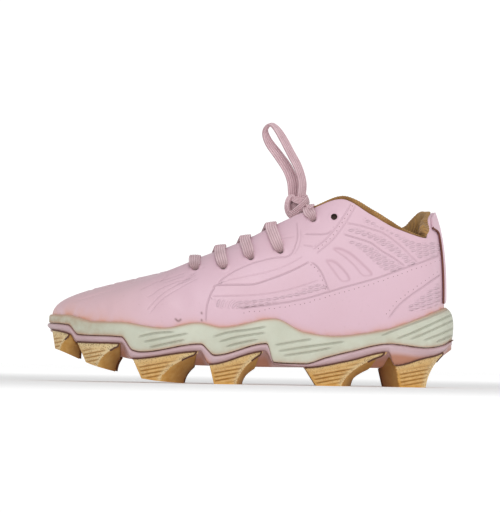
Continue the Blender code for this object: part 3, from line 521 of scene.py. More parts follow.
class Finish:
    """A Principled material with the nodes that feed it."""

    def __init__(self, name, **sockets):
        self.made = bpy.data.materials.new(name)
        self.made.use_nodes = True
        self.tree = self.made.node_tree
        self.shader = self.tree.nodes["Principled BSDF"]
        self.normal = None
        for socket, value in sockets.items():
            self.shader.inputs[socket.replace("_", " ")].default_value = value
        self.place = self.add("ShaderNodeTexCoord").outputs["Object"]

    def add(self, kind, inputs=(), **settings):
        node = self.tree.nodes.new(kind)
        for key, value in settings.items():
            setattr(node, key, value)
        for socket, value in dict(inputs).items():
            self.feed(node.inputs[socket], value)
        return node

    def feed(self, socket, value):
        if isinstance(value, bpy.types.NodeSocket):
            self.tree.links.new(value, socket)
        else:
            socket.default_value = value

    def set(self, socket, value):
        self.feed(self.shader.inputs[socket], value)

    def mark(self, name):
        return self.add("ShaderNodeAttribute", attribute_name=name).outputs["Fac"]

    def map(self):
        return self.add("ShaderNodeUVMap", uv_map="weave").outputs["UV"]

    def math(self, operation, first, second=0.0):
        return self.add("ShaderNodeMath", {0: first, 1: second}, operation=operation).outputs[0]

    def times(self, first, second):
        return self.math("MULTIPLY", first, second)

    def mix(self, factor, first, second):
        return self.add("ShaderNodeMix", {0: factor, 6: first, 7: second}, data_type="RGBA").outputs[2]

    def base(self, factor, first, second):
        """Bottom colour, which runs from one to another."""
        self.colour = self.mix(factor, tint(*first), tint(*second))

    def coat(self, factor, colour, share=1.0):
        """Lays a share of a colour over those before it."""
        if share < 1.0:
            factor = self.times(factor, share)
        self.colour = self.mix(factor, self.colour, tint(*colour))
        self.set("Base Color", self.colour)

    def span(self, value, low, high, start=0.0, end=1.0):
        node = self.add("ShaderNodeMapRange", {0: value, 1: low, 2: high, 3: start, 4: end})
        return node.outputs[0]

    def noise(self, size_mm, detail):
        """Noise whose lumps are about a size across."""
        inputs = {"Vector": self.place, "Scale": 1 / (size_mm * MM), "Detail": detail}
        return self.add("ShaderNodeTexNoise", inputs).outputs["Fac"]

    def cloud(self, size_mm, detail, low=0.3, high=0.7, start=0.0, end=1.0):
        """Noise that runs from start to end between two of its levels."""
        return self.span(self.noise(size_mm, detail), low, high, start, end)

    def cells(self, size_mm, vector=None):
        node = self.add("ShaderNodeTexVoronoi", {"Vector": vector or self.place, "Scale": 1 / (size_mm * MM)})
        return node.outputs["Distance"]

    def swell(self, turns):
        """Smooth rise and fall once in each turn, nothing at whole turns."""
        wave = self.math("COSINE", self.times(turns, 2 * math.pi))
        return self.math("SUBTRACT", 0.5, self.times(wave, 0.5))

    def seam(self, channel):
        """How deep in a seam line of one channel, from the distance to it."""
        off = self.math("DIVIDE", self.mark(f"seam_{channel}"), SEAM_WIDTH)
        fall = self.math("EXPONENT", self.times(self.times(off, off), -1.0))
        return self.times(fall, self.mark(f"near_{channel}"))

    def seams(self):
        return self.math("ADD", self.seam(0), self.seam(1))

    def bump(self, height, depth_mm, strength=1.0):
        inputs = {"Height": height, "Strength": strength, "Distance": depth_mm * MM}
        if self.normal is not None:
            inputs["Normal"] = self.normal
        self.normal = self.add("ShaderNodeBump", inputs).outputs[0]
        self.set("Normal", self.normal)


def tint(red, green, blue):
    """Linear colour, with alpha, of an 8-bit colour."""
    def linear(value):
        value /= 255
        return value / 12.92 if value <= 0.04045 else ((value + 0.055) / 1.055) ** 2.4
    return (linear(red), linear(green), linear(blue), 1.0)


def pink_moulded():
    """Satin moulded upper: fine grain, scales in its marked fields, stains at the feather line and toe."""
    coat = {"Coat_Weight": 0.06, "Coat_Roughness": 0.35}
    it = Finish("pink_moulded", Roughness=0.42, Specular_IOR_Level=0.45, **coat)
    it.base(it.mark("toe"), (229, 194, 208), (228, 193, 200))
    it.coat(it.cloud(28.0, 4.0, 0.35, 0.65), (224, 187, 198), 0.35)
    it.coat(it.cloud(1.6, 5.0, 0.62, 0.75), (176, 138, 134), 0.12)
    it.coat(it.times(it.mark("stain"), it.cloud(9.0, 3.0, 0.3, 0.6)), (226, 168, 146))
    # Painted shade at the edges of the sunk pads and in and round the eyelet holes.
    it.coat(it.mark("hollow"), (186, 144, 157))
    it.coat(it.mark("scuff"), (110, 70, 60))
    parts = it.add("ShaderNodeSeparateXYZ", {0: it.map()})
    row = it.math("DIVIDE", parts.outputs[1], SCALE_ROW)
    cell = it.math("DIVIDE", parts.outputs[0], SCALE_LONG)
    cell = it.math("ADD", cell, it.times(it.math("FLOOR", row), 0.5))
    long_way = it.math("POWER", it.swell(it.math("ADD", cell, it.times(row, SCALE_SLANT))), SCALE_BLUNT)
    raised = it.times(it.times(long_way, it.swell(row)), it.mark("scales"))
    lines = it.seams()
    # Painted highlight: the raised scales are made lighter, besides their bump.
    it.coat(raised, (240, 210, 221), 0.4)
    # Painted shade along the moulded seam lines, besides their bump.
    it.coat(lines, (172, 126, 140), 0.17)
    it.set("Roughness", it.cloud(12.0, 4.0, 0.3, 0.7, 0.36, 0.5))
    it.bump(it.noise(0.55, 2.0), 0.05, 0.55)
    it.bump(raised, SCALE_DEEP)
    it.bump(it.times(lines, -1.0), SEAM_DEEP)
    return it.made


def tan_knit(name="tan_knit", light=(208, 162, 100), dark=(174, 129, 75)):
    """Knit of the lining: small loops in rows, a soft nap."""
    it = Finish(name, Roughness=0.9, Specular_IOR_Level=0.2, Sheen_Weight=0.25, Sheen_Roughness=0.5)
    loops = it.add("ShaderNodeTexBrick", {
        "Vector": it.map(), "Scale": 1.0, "Mortar Size": 0.16, "Mortar Smooth": 1.0, "Brick Width": 1.1,
        "Row Height": 0.55,
    }, offset=0.5)
    it.base(it.cloud(11.0, 4.0), dark, light)
    it.coat(loops.outputs["Fac"], (104, 80, 50), 0.35)
    # Painted shade in the quilting seam, in the gathers' troughs and between the overcast stitches.
    it.coat(it.mark("hollow"), (92, 70, 44))
    it.bump(it.noise(0.4, 2.0), 0.08, 0.5)
    it.bump(it.math("SUBTRACT", 1.0, loops.outputs["Fac"]), 0.2, 0.6)
    return it.made


def sage_foam():
    """Moulded foam: fine diagonal stipple, painted shade in its grooves, dirt along its edges."""
    it = Finish("sage_foam", Roughness=0.55, Specular_IOR_Level=0.35)
    it.base(it.cloud(24.0, 4.0), (201, 204, 186), (216, 220, 203))
    it.coat(it.times(it.mark("grime"), it.cloud(5.0, 5.0, 0.25, 0.7)), (178, 152, 118))
    it.coat(it.mark("edge"), (196, 140, 112))
    # Painted shade in the side's grooves.
    it.coat(it.mark("hollow"), (168, 164, 146))
    lines = it.seams()
    # Painted shade along the groove lines, besides their bump.
    it.coat(lines, (140, 136, 116), 0.17)
    it.set("Roughness", it.cloud(8.0, 3.0, 0.3, 0.7, 0.48, 0.64))
    it.bump(it.times(lines, -1.0), 0.5)
    diagonal = {"Vector": it.place, "Rotation": (0.0, math.radians(35), 0.0)}
    it.bump(it.cells(0.95, it.add("ShaderNodeMapping", diagonal).outputs[0]), 0.12, 0.55)
    return it.made


def plate_pink():
    """Moulded plate: satin pink, brown where it meets the foam and the studs."""
    it = Finish("plate_pink", Roughness=0.4, Specular_IOR_Level=0.45)
    it.base(it.cloud(16.0, 4.0), (214, 186, 192), (203, 172, 177))
    it.coat(it.mark("low"), (182, 120, 88), 0.9)
    it.coat(it.times(it.mark("edge"), it.cloud(3.0, 4.0, 0.1, 0.5, 0.6, 1.0)), (118, 66, 44))
    it.bump(it.noise(0.8, 3.0), 0.06, 0.5)
    return it.made


def stud_gum():
    """Gum rubber: mottled gold, pale and stippled where it is worn, with painted shade in its grooves and on
    its inner faces.
    """
    it = Finish("stud_gum", Roughness=0.6, Specular_IOR_Level=0.35)
    it.base(it.cloud(4.0, 5.0), (206, 150, 68), (226, 180, 102))
    # Painted shade in the grooves of the outer face.
    it.coat(it.mark("hollow"), (128, 76, 30))
    # Painted shade on the stud's inner faces, darkest at its inner end.
    it.coat(it.mark("inner"), (112, 66, 30))
    it.coat(it.mark("wear"), (233, 215, 172), 0.85)
    speck = it.times(it.span(it.cells(1.0), 0.42, 0.2), it.math("ADD", it.mark("wear"), 0.12))
    it.coat(speck, (138, 92, 44), 0.75)
    it.bump(it.noise(0.9, 4.0), 0.14, 0.6)
    it.bump(it.times(speck, -1.0), 0.3, 0.7)
    return it.made


def lace_weave():
    """Tubular lace: ribs along it, each of slanting stitches."""
    it = Finish("lace_weave", Roughness=0.82, Specular_IOR_Level=0.25, Sheen_Weight=0.2, Sheen_Roughness=0.5)
    parts = it.add("ShaderNodeSeparateXYZ", {0: it.map()})
    along, across = parts.outputs[0], parts.outputs[1]
    slant = it.math("PINGPONG", it.math("DIVIDE", across, STITCH_SLANT), 0.5)
    turns = it.math("ADD", it.math("DIVIDE", along, STITCH_LONG), slant)
    stitch = it.span(it.math("SINE", it.times(turns, 2 * math.pi)), -1.0, 1.0)
    rib = it.math("COSINE", it.times(across, math.pi * LACE_RIBS / (LACE_WIDTH / 2)))
    valley = it.math("POWER", it.span(rib, 1.0, -1.0), 3.0)
    it.base(it.cloud(7.0, 3.0), (243, 213, 219), (226, 192, 199))
    it.coat(it.math("SUBTRACT", 1.0, stitch), (150, 112, 116), 0.2)
    # Painted shade in the valleys between the lace's ribs.
    it.coat(valley, (140, 100, 106), 0.5)
    # Painted shade where a lace goes into an eyelet hole, and on the knot's core between the wraps.
    it.coat(it.mark("hollow"), (116, 80, 78))
    it.bump(stitch, 0.14, 0.7)
    return it.made


def plain(name, colour, roughness, grain_mm, depth_mm):
    """One colour that clouds a little, with a grain."""
    it = Finish(name, Roughness=roughness)
    light = tint(*colour)
    darker = tuple(0.8 * part for part in light[:3]) + (1.0,)
    it.set("Base Color", it.mix(it.cloud(14 * grain_mm, 3.0), darker, light))
    it.bump(it.noise(grain_mm, 3.0), depth_mm, 0.5)
    return it.made


PINK = pink_moulded()
KNIT = tan_knit()
LINER = tan_knit("liner_knit", (170, 146, 112), (132, 108, 76))
SAGE = sage_foam()
PLATE = plate_pink()
GUM = stud_gum()
LACE = lace_weave()
PIN = plain("pin_mark", (166, 126, 134), 0.6, 0.3, 0.02)
SEAM = plain("seam_brown", (120, 66, 52), 0.6, 0.5, 0.05)
# Dark walls of the punched eyelet holes and the discs behind the top ones: painted shade.
HOLE = plain("eyelet_painted_shade", (70, 52, 44), 0.8, 0.5, 0.03)
RIM = plain("rim_brown", (96, 56, 38), 0.6, 0.5, 0.05)


# Lines moulded in the upper, in the side view: a twin runs beside its line, and dots lie along it
Line = namedtuple("Line", "name strength channel points twin dots", defaults=(0, 0))
RELIEF = [
    Line("eyestay", 0.8, 0, [
        (284.5, 119), (285.5, 130), (285, 138), (282.5, 146), (279.5, 152), (274, 155.3), (266, 155.8),
        (258, 157), (246, 160), (237, 163), (229, 166.5), (222, 170), (213, 176), (206, 182)]),
    Line("eyestay_beside", 0.45, 1, [(288.5, 126), (288.3, 138), (286, 146), (281, 154)]),
    Line("panel_edge", 1.0, 0, [
        (298, 159.5), (290, 164), (280, 169), (268, 174), (257, 178), (245, 182), (235, 183),
        (206, 183.5), (203, 187), (200, 192), (198, 198), (196, 206), (195, 221)]),
    Line("panel_above", 0.4, 1, [(214, 179), (235, 174.5), (255, 170.5), (275, 163.5), (292, 154)]),
    Line("panel_middle", 0.6, 0, [(200, 194.5), (240, 193.5), (262, 191), (280, 187), (307, 178.5)]),
    Line("panel_rear", 1.0, 1, [
        (297.5, 160), (304, 164), (308.5, 170), (312, 177), (315, 185), (317.5, 191)], dots=-1.6),
    Line("strap", 0.65, 0, [(344, 103), (334, 120), (320, 138.5), (303, 153)], twin=-3.2, dots=-1.6),
    Line("eyestay_bar_high", 0.9, 1, [(291, 132.5), (313, 132.5), (321, 128)]),
    Line("eyestay_bar_low", 0.6, 1, [(289, 143), (303, 145.5)]),
    Line("eyestay_bar_front", 0.45, 1, [(269, 137), (284, 134.5)]),
    Line("arc_low", 1.0, 1, [(330, 132.5), (345, 137), (358, 141.5), (370, 150), (383, 157.5), (393, 165.5)]),
    Line("arc_high", 0.8, 1, [
        (333, 121.5), (347, 124), (360, 128), (370, 131.5), (380, 138), (392, 148), (399, 155),
        (406, 161.5)]),
    Line("long_band", 1.0, 0, [
        (429, 152.5), (410, 160), (390, 167), (370, 174.5), (350, 180.5), (330, 186), (315, 190.5),
        (300, 195), (280, 199.5), (255, 203.5), (228, 207)], dots=2.5),
    Line("heel_band", 1.0, 0, [
        (430, 171.5), (420, 178), (410, 185), (397, 194), (385, 204), (375, 217)], dots=-2.5),
    Line("vamp_high", 0.5, 0, [(187, 172), (164, 184), (146, 197), (136, 209)], twin=2.6),
    Line("vamp_leaf_1", 0.5, 1, [(176, 170), (160, 176), (146, 180), (128, 189)]),
    Line("vamp_leaf_2", 0.5, 1, [(182, 176), (166, 180), (150, 187), (136, 196)]),
    Line("vamp_leaf_3", 0.4, 1, [(168, 166.5), (152, 170.5), (138, 173.5)]),
    Line("vamp_leaf_4", 0.45, 0, [(160, 171), (154, 176), (148, 182)]),
    Line("vamp_leaf_5", 0.4, 0, [(196, 164), (186, 169), (176, 176), (168, 183)]),
]
# Sunk pads of the quarter
PAD_HEIGHT, PAD_EDGE = -0.7, 0.6
PADS = {
    "finger_high": [
        (321, 147.5), (332, 155), (342, 164), (349, 172.5), (354, 174), (359, 172), (350, 162.5),
        (338, 152), (327, 147)],
    "finger_low": [(314, 159), (322, 170), (328, 178), (332, 179.5), (337, 177), (331, 168), (322, 160)],
}
# Fields of small raised scales, in rows along the long band
FIELDS = {
    "under_arc": [
        (331, 136), (345, 139.5), (358, 144), (370, 152), (385, 161), (390, 166), (377, 171), (368, 167),
        (358, 158), (348, 149), (338, 143)],
    "between_arcs": [
        (336, 125), (348, 127), (360, 131.5), (370, 135), (380, 141), (391, 150), (403, 161),
        (395, 164.5), (388, 158), (372, 147), (358, 138.5), (345, 134), (334, 130)],
    "rear_collar": [
        (350, 114), (372, 126), (396, 137), (410, 140), (428, 140), (428, 151), (410, 158), (405, 157),
        (393, 145), (380, 134.5), (365, 127), (352, 122)],
    "heel_low": [(428, 178), (418, 186), (404, 196), (394, 205), (400, 210), (428, 201)],
    "scallops": [
        (204, 197), (250, 196.5), (280, 190), (306, 181), (313, 183), (316, 188), (280, 197), (255, 203),
        (230, 207), (206, 206)],
}
# Creases of wear, in millimetres of the side view
Crease = namedtuple("Crease", "width depth points")
CREASES = [
    Crease(2.6, 0.5, [(-89.5, 51.0), (-88.3, 46.8), (-86.6, 38.0)]),
    Crease(4.5, 0.55, [(-63.0, 60.0), (-60.0, 51.0), (-57.5, 41.0)]),
    Crease(4.0, 0.4, [(-73.0, 57.0), (-71.5, 50.0), (-70.0, 42.0)]),
    Crease(5.0, 0.5, [(-46.0, 62.0), (-42.0, 52.0), (-38.0, 43.0)]),
    Crease(5.0, 0.45, [(92.0, 86.0), (88.0, 78.0), (80.0, 72.0)]),
]
# Seams of the toe box, in millimetres of plan: along the toe, and out from its middle line
TOE_MIDDLE = [(-122, 8.0), (-100, 5.0), (-70, 2.0), (-41, 0.0)]
TOE_PANEL = [(-40, 10), (-58, 16), (-80, 21.5), (-100, 21), (-112, 14)]
TOE_BARS = [-57.0, -71.0, -85.0, -98.0]
SCUFFS = [
    [(165.5, 217), (168, 219), (170.5, 217.5)], [(40, 213), (42, 214)],
    [(191, 210.8), (191.2, 211.4)], [(191, 217.8), (191.2, 218.4)],
]
TOE_SEAM, TOE_BAR, TOE_BULGE, TOE_WIDTH = 0.4, 0.34, 0.14, 0.9
CREASE_FADE, CREASE_BULGE = 6.0, 1.9
SEAM_REACH, SEAM_FADE, SEAM_LOOK = 2.4, 2.5, 7.0
FIELD_EDGE, FIELD_LOOK, BAND_LOOK = 1.4, 6.0, 90.0


def end_fade(along, length, reach):
    """Fades a line in and out at its ends."""
    return smoothstep(0.0, reach, along) * smoothstep(0.0, reach, length - along)


def depth_in(x, z, points, reach):
    """How deep places lie inside a closed outline of the photograph, below zero outside it."""
    ring = photo_line(points + points[:1], 4)
    apart, _, _ = from_line(x, z, ring, reach)
    return np.abs(apart) * np.where(inside_shape(x, z, ring), 1.0, -1.0)


def seam_marks(x, z, lines):
    """Distance to the nearest line of each channel, and how strongly that line shows."""
    near = [np.full(x.shape, SEAM_REACH) for _ in range(2)]
    marks = {f"{key}_{channel}": np.zeros(x.shape) for key in ("seam", "near") for channel in range(2)}
    for line in lines:
        apart, along, length = from_line(x, z, photo_line(line.points), SEAM_LOOK)
        strength = line.strength * end_fade(along, length, SEAM_FADE)
        tracks = [(0, line.channel)] + ([(line.twin, 1 - line.channel)] if line.twin else [])
        for shift, channel in tracks:
            off = np.abs(apart - shift)
            closer = off < near[channel]
            near[channel][closer] = off[closer]
            marks[f"seam_{channel}"][closer] = (apart - shift)[closer]
            shown = strength * smoothstep(SEAM_REACH, SEAM_REACH - 1.0, off)
            marks[f"near_{channel}"][closer] = shown[closer]
    return marks


def side_relief(x, z):
    """Height of the moulded relief and creases, and the painted shade at the pads' edges, for places of the
    side view.
    """
    height, hollow = np.zeros(x.shape), np.zeros(x.shape)
    for points in PADS.values():
        depth = depth_in(x, z, points, 8.0)
        height += PAD_HEIGHT * smoothstep(-PAD_EDGE, PAD_EDGE, depth)
        hollow = np.maximum(hollow, 0.5 * bell(depth, 0.7))
    for width, deep, points in CREASES:
        apart, along, length = from_line(x, z, smooth_route(points, 5), 14.0)
        fold = bell(apart, width) - 0.5 * bell(apart - CREASE_BULGE * width, width)
        height -= deep * end_fade(along, length, CREASE_FADE) * fold
    return height, hollow


def toe_relief(x, y, facing_up):
    """Panel edges and bars across the top of the toe box."""
    out = y - monotone(TOE_MIDDLE)(x)
    height = np.zeros(x.shape)
    for sign in (-1.0, 1.0):
        edge = smooth_route([(px, sign * py) for px, py in TOE_PANEL], 6)
        apart, along, length = from_line(x, out, edge, 6.0)
        height -= TOE_SEAM * bell(apart, TOE_WIDTH) * smoothstep(0.0, 5.0, length - along)
    within = smoothstep(0.0, 3.0, np.interp(x, *np.transpose(TOE_PANEL[::-1])) - np.abs(out))
    for place in TOE_BARS:
        bow = x - place + 5.0 * (out / 20.0) ** 2
        height -= (TOE_BAR * bell(bow, TOE_WIDTH) - TOE_BULGE * bell(bow - 2.2, 1.4)) * within
    return height * smoothstep(0.25, 0.55, facing_up) * smoothstep(-36.0, -44.0, x)


def field_marks(x, z):
    """Where the scale texture lies, and the map that its rows follow."""
    mark = np.zeros(x.shape)
    for points in FIELDS.values():
        mark = np.maximum(mark, smoothstep(0.0, FIELD_EDGE, depth_in(x, z, points, FIELD_LOOK)))
    band = next(line for line in RELIEF if line.name == "long_band")
    apart, along, _ = from_line(x, z, photo_line(band.points), BAND_LOOK)
    return mark, grid(along, np.where(apart == FAR, 0.0, apart))


UPPER_COLUMNS = {"lateral": 430, "medial": 250}
UPPER_ROWS = 112
EYELET_NEAR, EYELET_RIM, PUNCH_LONG = 8.0, 0.3, 9.0
SCUFF_WIDTH, EDGE_ROUND, LINER_TALL = 0.55, 0.45, 80


def upper_grid():
    lateral = even_ribs(0, TOE, UPPER_COLUMNS["lateral"])
    u = np.concatenate([lateral[:-1], even_ribs(TOE, RIB_COUNT, UPPER_COLUMNS["medial"])])
    t = np.concatenate([np.linspace(0, 0.07, 4)[:-1], np.linspace(0.07, 1, UPPER_ROWS)])
    return u[None, :], t[:, None]


def eyelet_frames():
    for side in SIDES:
        for place in EYELETS:
            u, t = find_on_upper(place, side)
            yield bezier_wall(u, t), wall_normal(u, t)


def make_upper():
    """The moulded shell, with its relief, its rolled top edge and its punched eyelets."""
    u, t = upper_grid()
    face, normal = bezier_wall(u, t), wall_normal(u, t)
    x, y, z = np.moveaxis(face, -1, 0)
    height, hollow = side_relief(x, z)
    height += toe_relief(x, y, normal[..., 2])
    for centre, axis in eyelet_frames():
        off = face - centre
        from_axis = np.linalg.norm(off - (off @ axis)[..., None] * axis, axis=-1)
        ring = np.where(np.linalg.norm(off, axis=-1) < EYELET_NEAR, from_axis, FAR)
        height += EYELET_RIM * bell(ring - EYELET_RADIUS - 1.0, 0.7)
        # Painted shade in and just round each eyelet hole.
        hollow = np.maximum(hollow, np.exp(-((ring / (EYELET_RADIUS + 0.4)) ** 6)))
    above = z - midsole_edge(x)
    clear = smoothstep(1.0, 3.0, above) * smoothstep(1.0, 0.985, t)
    outer = face + normal * (height * clear)[..., None]
    scales, rows = field_marks(x, z)
    scuff = np.zeros(x.shape)
    for mark in SCUFFS:
        apart, _, _ = from_line(x, z, photo_line(mark), 4.0)
        scuff = np.maximum(scuff, 0.8 * bell(np.where(y > 0, FAR, apart), SCUFF_WIDTH))
    stain = np.exp(-np.maximum(above, 0) / 1.3)
    stain += 0.5 * np.exp(-np.maximum(above, 0) / 6.0) * smoothstep(-60.0, -100.0, x)
    marks = {
        "toe": smoothstep(-30.0, -95.0, x), "stain": stain, "hollow": 0.6 * hollow, "scales": scales,
        "scuff": scuff, **seam_marks(x, z, RELIEF),
    }
    inner_t = np.linspace(0, 1, 9)[:, None]
    inner = upper_face(u, inner_t, -WALL)
    inner[0, :, 2] = outer[0, :, 2]
    turn = np.linspace(0, math.pi, 6)[:, None, None]
    middle, half = (outer[-1] + inner[-1]) / 2, (outer[-1] - inner[-1]) / 2
    edge = middle + half * np.cos(turn) + edge_away(u[0]) * EDGE_ROUND * np.sin(turn)
    inner_map = grid(walk(inner[4])[None, :], LINER_TALL * inner_t)
    made = make_piece("upper_shell", [
        patch(outer, marks, rows), patch(edge), patch(inner, None, inner_map, 1),
        patch(np.stack([outer[0], inner[0]])),
    ], [PINK, LINER, HOLE], ["upper"])
    punch_eyelets(made)
    return outer, normal


def punch_eyelets(made):
    """Cuts a round hole through the wall at each eyelet."""
    mesh = bmesh.new()
    radius = EYELET_RADIUS * MM
    for centre, axis in eyelet_frames():
        turn = Vector(UP).rotation_difference(Vector(axis)).to_matrix().to_4x4()
        bmesh.ops.create_cone(
            mesh, cap_ends=True, segments=28, radius1=radius, radius2=radius, depth=PUNCH_LONG * MM,
            matrix=Matrix.Translation(Vector(centre * MM)) @ turn)
    data = to_data(mesh, "eyelet_pins")
    # The hole walls take the dark painted shade.
    dark = made.data.materials.find(HOLE.name)
    data.polygons.foreach_set("material_index", np.full(len(data.polygons), dark))
    pins = add_object("eyelet_pins", data)
    cut = made.modifiers.new("eyelets", "BOOLEAN")
    cut.object = pins
    cut.solver = "EXACT"
    done = bpy.data.meshes.new_from_object(made.evaluated_get(bpy.context.evaluated_depsgraph_get()))
    made.modifiers.clear()
    made.data = done
    bpy.data.objects.remove(pins)


DOT_PITCH, DOT_RADIUS, DOT_ENDS = 3.1, 0.3, 2.0
DOT_TOP, DOT_LOW = 0.03, -0.22          # faces of a dot, from the upper's face


def make_pin_dots(outer, normal):
    """Small punched marks along the bands of the quarter, on both sides."""
    half = UPPER_COLUMNS["lateral"]
    discs = []
    for part in (slice(0, half), slice(half, None)):
        points, normals = outer[:, part].reshape(-1, 3), normal[:, part].reshape(-1, 3)
        for line in (line for line in RELIEF if line.dots):
            route = photo_line(line.points, 8)
            walked = walk(route)
            for way in np.arange(DOT_ENDS, walked[-1] - DOT_ENDS, DOT_PITCH):
                place, ahead = between([way, way + 0.5], walked, route)
                ahead = ahead - place
                place = place + line.dots * np.array([-ahead[1], ahead[0]]) / np.hypot(*ahead)
                nearest = np.argmin((points[:, 0] - place[0]) ** 2 + (points[:, 2] - place[1]) ** 2)
                middle, axis = points[nearest], normals[nearest]
                rim = DOT_RADIUS * circle(axis, 8)
                rounds = [(DOT_TOP, 0), (DOT_TOP, 1), (DOT_LOW, 1), (DOT_LOW, 0)]
                discs.append(np.stack([middle + axis * level + rim * wide for level, wide in rounds]))
    make_piece("pin_marks", [patch(disc) for disc in discs], [PIN])


# Sole
SIDE_ROWS = [(0.0, 0.0), (0.1, 0.5), (0.3, 0.86), (0.55, 1.0), (0.8, 0.97), (1.0, 0.84)]
RIB_LINES = [
    [(127, 235), (145, 231), (165, 229.5)], [(132.5, 240), (155, 235.5), (179, 231)],
    [(138, 245.5), (158, 241), (176, 237.3)],
    [(200.8, 235.2), (217.5, 230.1), (240, 227.1), (256, 224.2)],
    [(206.8, 239.9), (224.2, 235.2), (240, 232.5), (255, 230.4)],
    [(213.5, 244.6), (232, 240), (248, 237)],
    [(262, 243), (285, 239), (301, 236.5)], [(265, 249), (290, 245), (315, 241.5), (333, 239)],
    [(270, 253.5), (300, 249), (320, 245)],
    [(366.8, 233.6), (388.6, 225.2), (413.8, 216), (437.7, 205.5), (452, 199)],
    [(382.2, 237.1), (398.4, 230.8), (426.4, 218.2), (439, 212.5), (452, 207)],
    [(395.6, 237.5), (412.4, 230.8), (440.5, 218.2), (452, 214)],
    [(408.9, 238.8), (426.4, 232.2), (441.2, 225.9), (452, 221.5)],
    [(421.5, 240.6), (441.9, 232.2), (452, 228.5)],
]
SOLE_COLUMNS = 720
RIB_WIDTH, RIB_DEPTH, RIB_RAISED = 0.6, 0.4, 0.3
LIP_DROP, BROW_RISE, FOOT_INSET = 0.4, 0.25, 0.7


def sole_ribs():
    return both_sides(even_ribs(0, TOE, SOLE_COLUMNS // 2, 0.0))


def push_out(rows, u, amount):
    """Moves rows of points outwards in plan."""
    nx, ny = plan_normal(u)
    rows[..., 0] += nx * amount
    rows[..., 1] += ny * amount


def sheet_across(loop, count, height):
    """Sheet across a closed loop that runs heel, lateral side, toe, medial side and back to the heel."""
    loop = loop[:-1]
    half = len(loop) // 2
    j = np.arange(half + 1)
    share = np.linspace(0, 1, count + 1)
    rows = loop[j][:, None] + share[None, :, None] * (loop[-j] - loop[j])[:, None]
    rows[:, 1:-1, 2] = height(rows[:, 1:-1, 0], np.abs(2 * share[1:-1] - 1)[None, :])
    return rows


def step_height(edge, middle):
    """Height of a sheet that has one profile at its edge and another in its middle."""
    def at(x, share):
        near = smoothstep(0.55, 0.9, share)
        return near * edge(x) + (1 - near) * middle(x)
    return at


under_midsole = step_height(plate_line, plate_middle)
under_plate = step_height(band_edge, plate_underside)


def make_midsole():
    """Foam cup: inner wall, rounded lip, bellied side with its grooves, and the stepped underside."""
    u = sole_ribs()
    reach = edge_share(u)
    inner = np.stack([upper_face(u, reach * share, GAP) for share in np.linspace(0, 1, 5)])
    inner[0][:, 2] = footbed(inner[0][:, 0])
    lip = upper_face(u, reach, GAP + LIP)
    lip[:, 2] = inner[-1][:, 2] - LIP_DROP
    nx, ny = plan_normal(u)
    lip_out = (lip[:, 0] - base_x(u)) * nx + (lip[:, 1] - base_y(u)) * ny
    margin = sole_margin(base_x(u))
    foot_x, foot_y = outline(u, margin - FOOT_INSET)
    tall = lip[:, 2] - plate_line(foot_x)
    depths = np.linspace(0, 1, 58)[:, None]
    x, y = outline(u, lip_out + monotone(SIDE_ROWS)(depths) * (margin - lip_out))
    side = grid(x, y, lip[:, 2] - depths * tall)
    side[0], side[-1, :, 0], side[-1, :, 1] = lip, foot_x, foot_y
    x, y, z = np.moveaxis(side, -1, 0)
    cut, hollow = np.zeros(x.shape), np.zeros(x.shape)
    for points in RIB_LINES:
        apart, along, length = from_line(x, z, photo_line(points, 6), 6.0)
        fade = end_fade(along, length, 5.0) * smoothstep(2.0, 14.0, np.abs(y))
        groove = bell(apart, RIB_WIDTH) * fade
        cut += RIB_DEPTH * groove - RIB_RAISED * bell(apart - 1.7, 0.9) * fade
        # Painted shade in each groove.
        hollow = np.maximum(hollow, groove)
    inside = smoothstep(0.0, 0.06, depths) * smoothstep(1.0, 0.94, depths)
    push_out(side, u, -cut * inside)
    from_top, from_foot = depths * tall, (1 - depths) * tall
    marks = {
        "hollow": 0.1 * hollow * inside,
        **seam_marks(x, z, [Line("rib", 1.0, k % 2, points) for k, points in enumerate(RIB_LINES)]),
        "edge": 0.7 * np.exp(-from_top / 0.7) + 0.85 * np.exp(-from_foot / 0.7),
        "grime": np.clip(0.08 + 0.5 * smoothstep(-70.0, -115.0, x) + 0.5 * np.exp(-from_foot / 2.0), 0, 1),
    }
    brow = bridge(inner[-1], lip, 4)
    brow[1:-1, :, 2] += BROW_RISE
    make_piece("midsole_foam", [
        patch(inner), patch(brow, {"edge": 0.6}), patch(side, marks),
        patch(sheet_across(inner[0], 6, lambda x, share: footbed(x))),
        patch(sheet_across(side[-1], 24, under_midsole)),
    ], [SAGE], ["midsole"])
    return side[-1]


# How far the plate's band and its bead stand out, and how deep the hollow under the bead is
BEAD_OUT, BEAD_HIGH, BEAD_UNDER = 0.35, 0.55, 0.35


def make_plate(foot):
    """Plate with the rounded bead of its band, hooked from stud to stud, and its hollow underside."""
    u = sole_ribs()
    top = foot - UP * GAP
    shares = np.linspace(0, 1, 26)[:, None]
    round_out = np.sqrt(np.maximum(0.0, 1 - (2 * shares - 1) ** 2))
    stands = (0.8 - 1.1 * shares**3) * smoothstep(0, 0.1, shares) + BEAD_OUT * round_out
    x, y = outline(u, sole_margin(base_x(u)) - FOOT_INSET + stands)
    side = grid(x, y, top[:, 2] + shares * (band_edge(x) - top[:, 2]))
    side[0] = top
    tall = top[:, 2] - side[-1][:, 2]
    from_top, from_low = shares * tall, (1 - shares) * tall
    bead = BEAD_HIGH * bell(from_top - 1.7, 1.1) - BEAD_UNDER * bell(from_top - 4.6, 1.2)
    push_out(side, u, bead * smoothstep(0.0, 0.1, shares) * smoothstep(1.0, 0.9, shares))
    marks = {
        "edge": 0.9 * np.exp(-from_top / 0.5) + 0.9 * np.exp(-from_low / 0.7),
        "low": smoothstep(3.2, 7.5, from_top),
    }
    under = sheet_across(side[-1], 40, under_plate)
    below = band_edge(under[..., 0]) - under[..., 2]
    make_piece("plate_band", [
        patch(side, marks),
        patch(sheet_across(side[0], 24, lambda x, share: under_midsole(x, share) - GAP)),
        patch(under, {"low": 0.35 + 0.65 * smoothstep(0.5, 6.0, below)}),
    ], [PLATE], ["plate"])
    return side[-1]


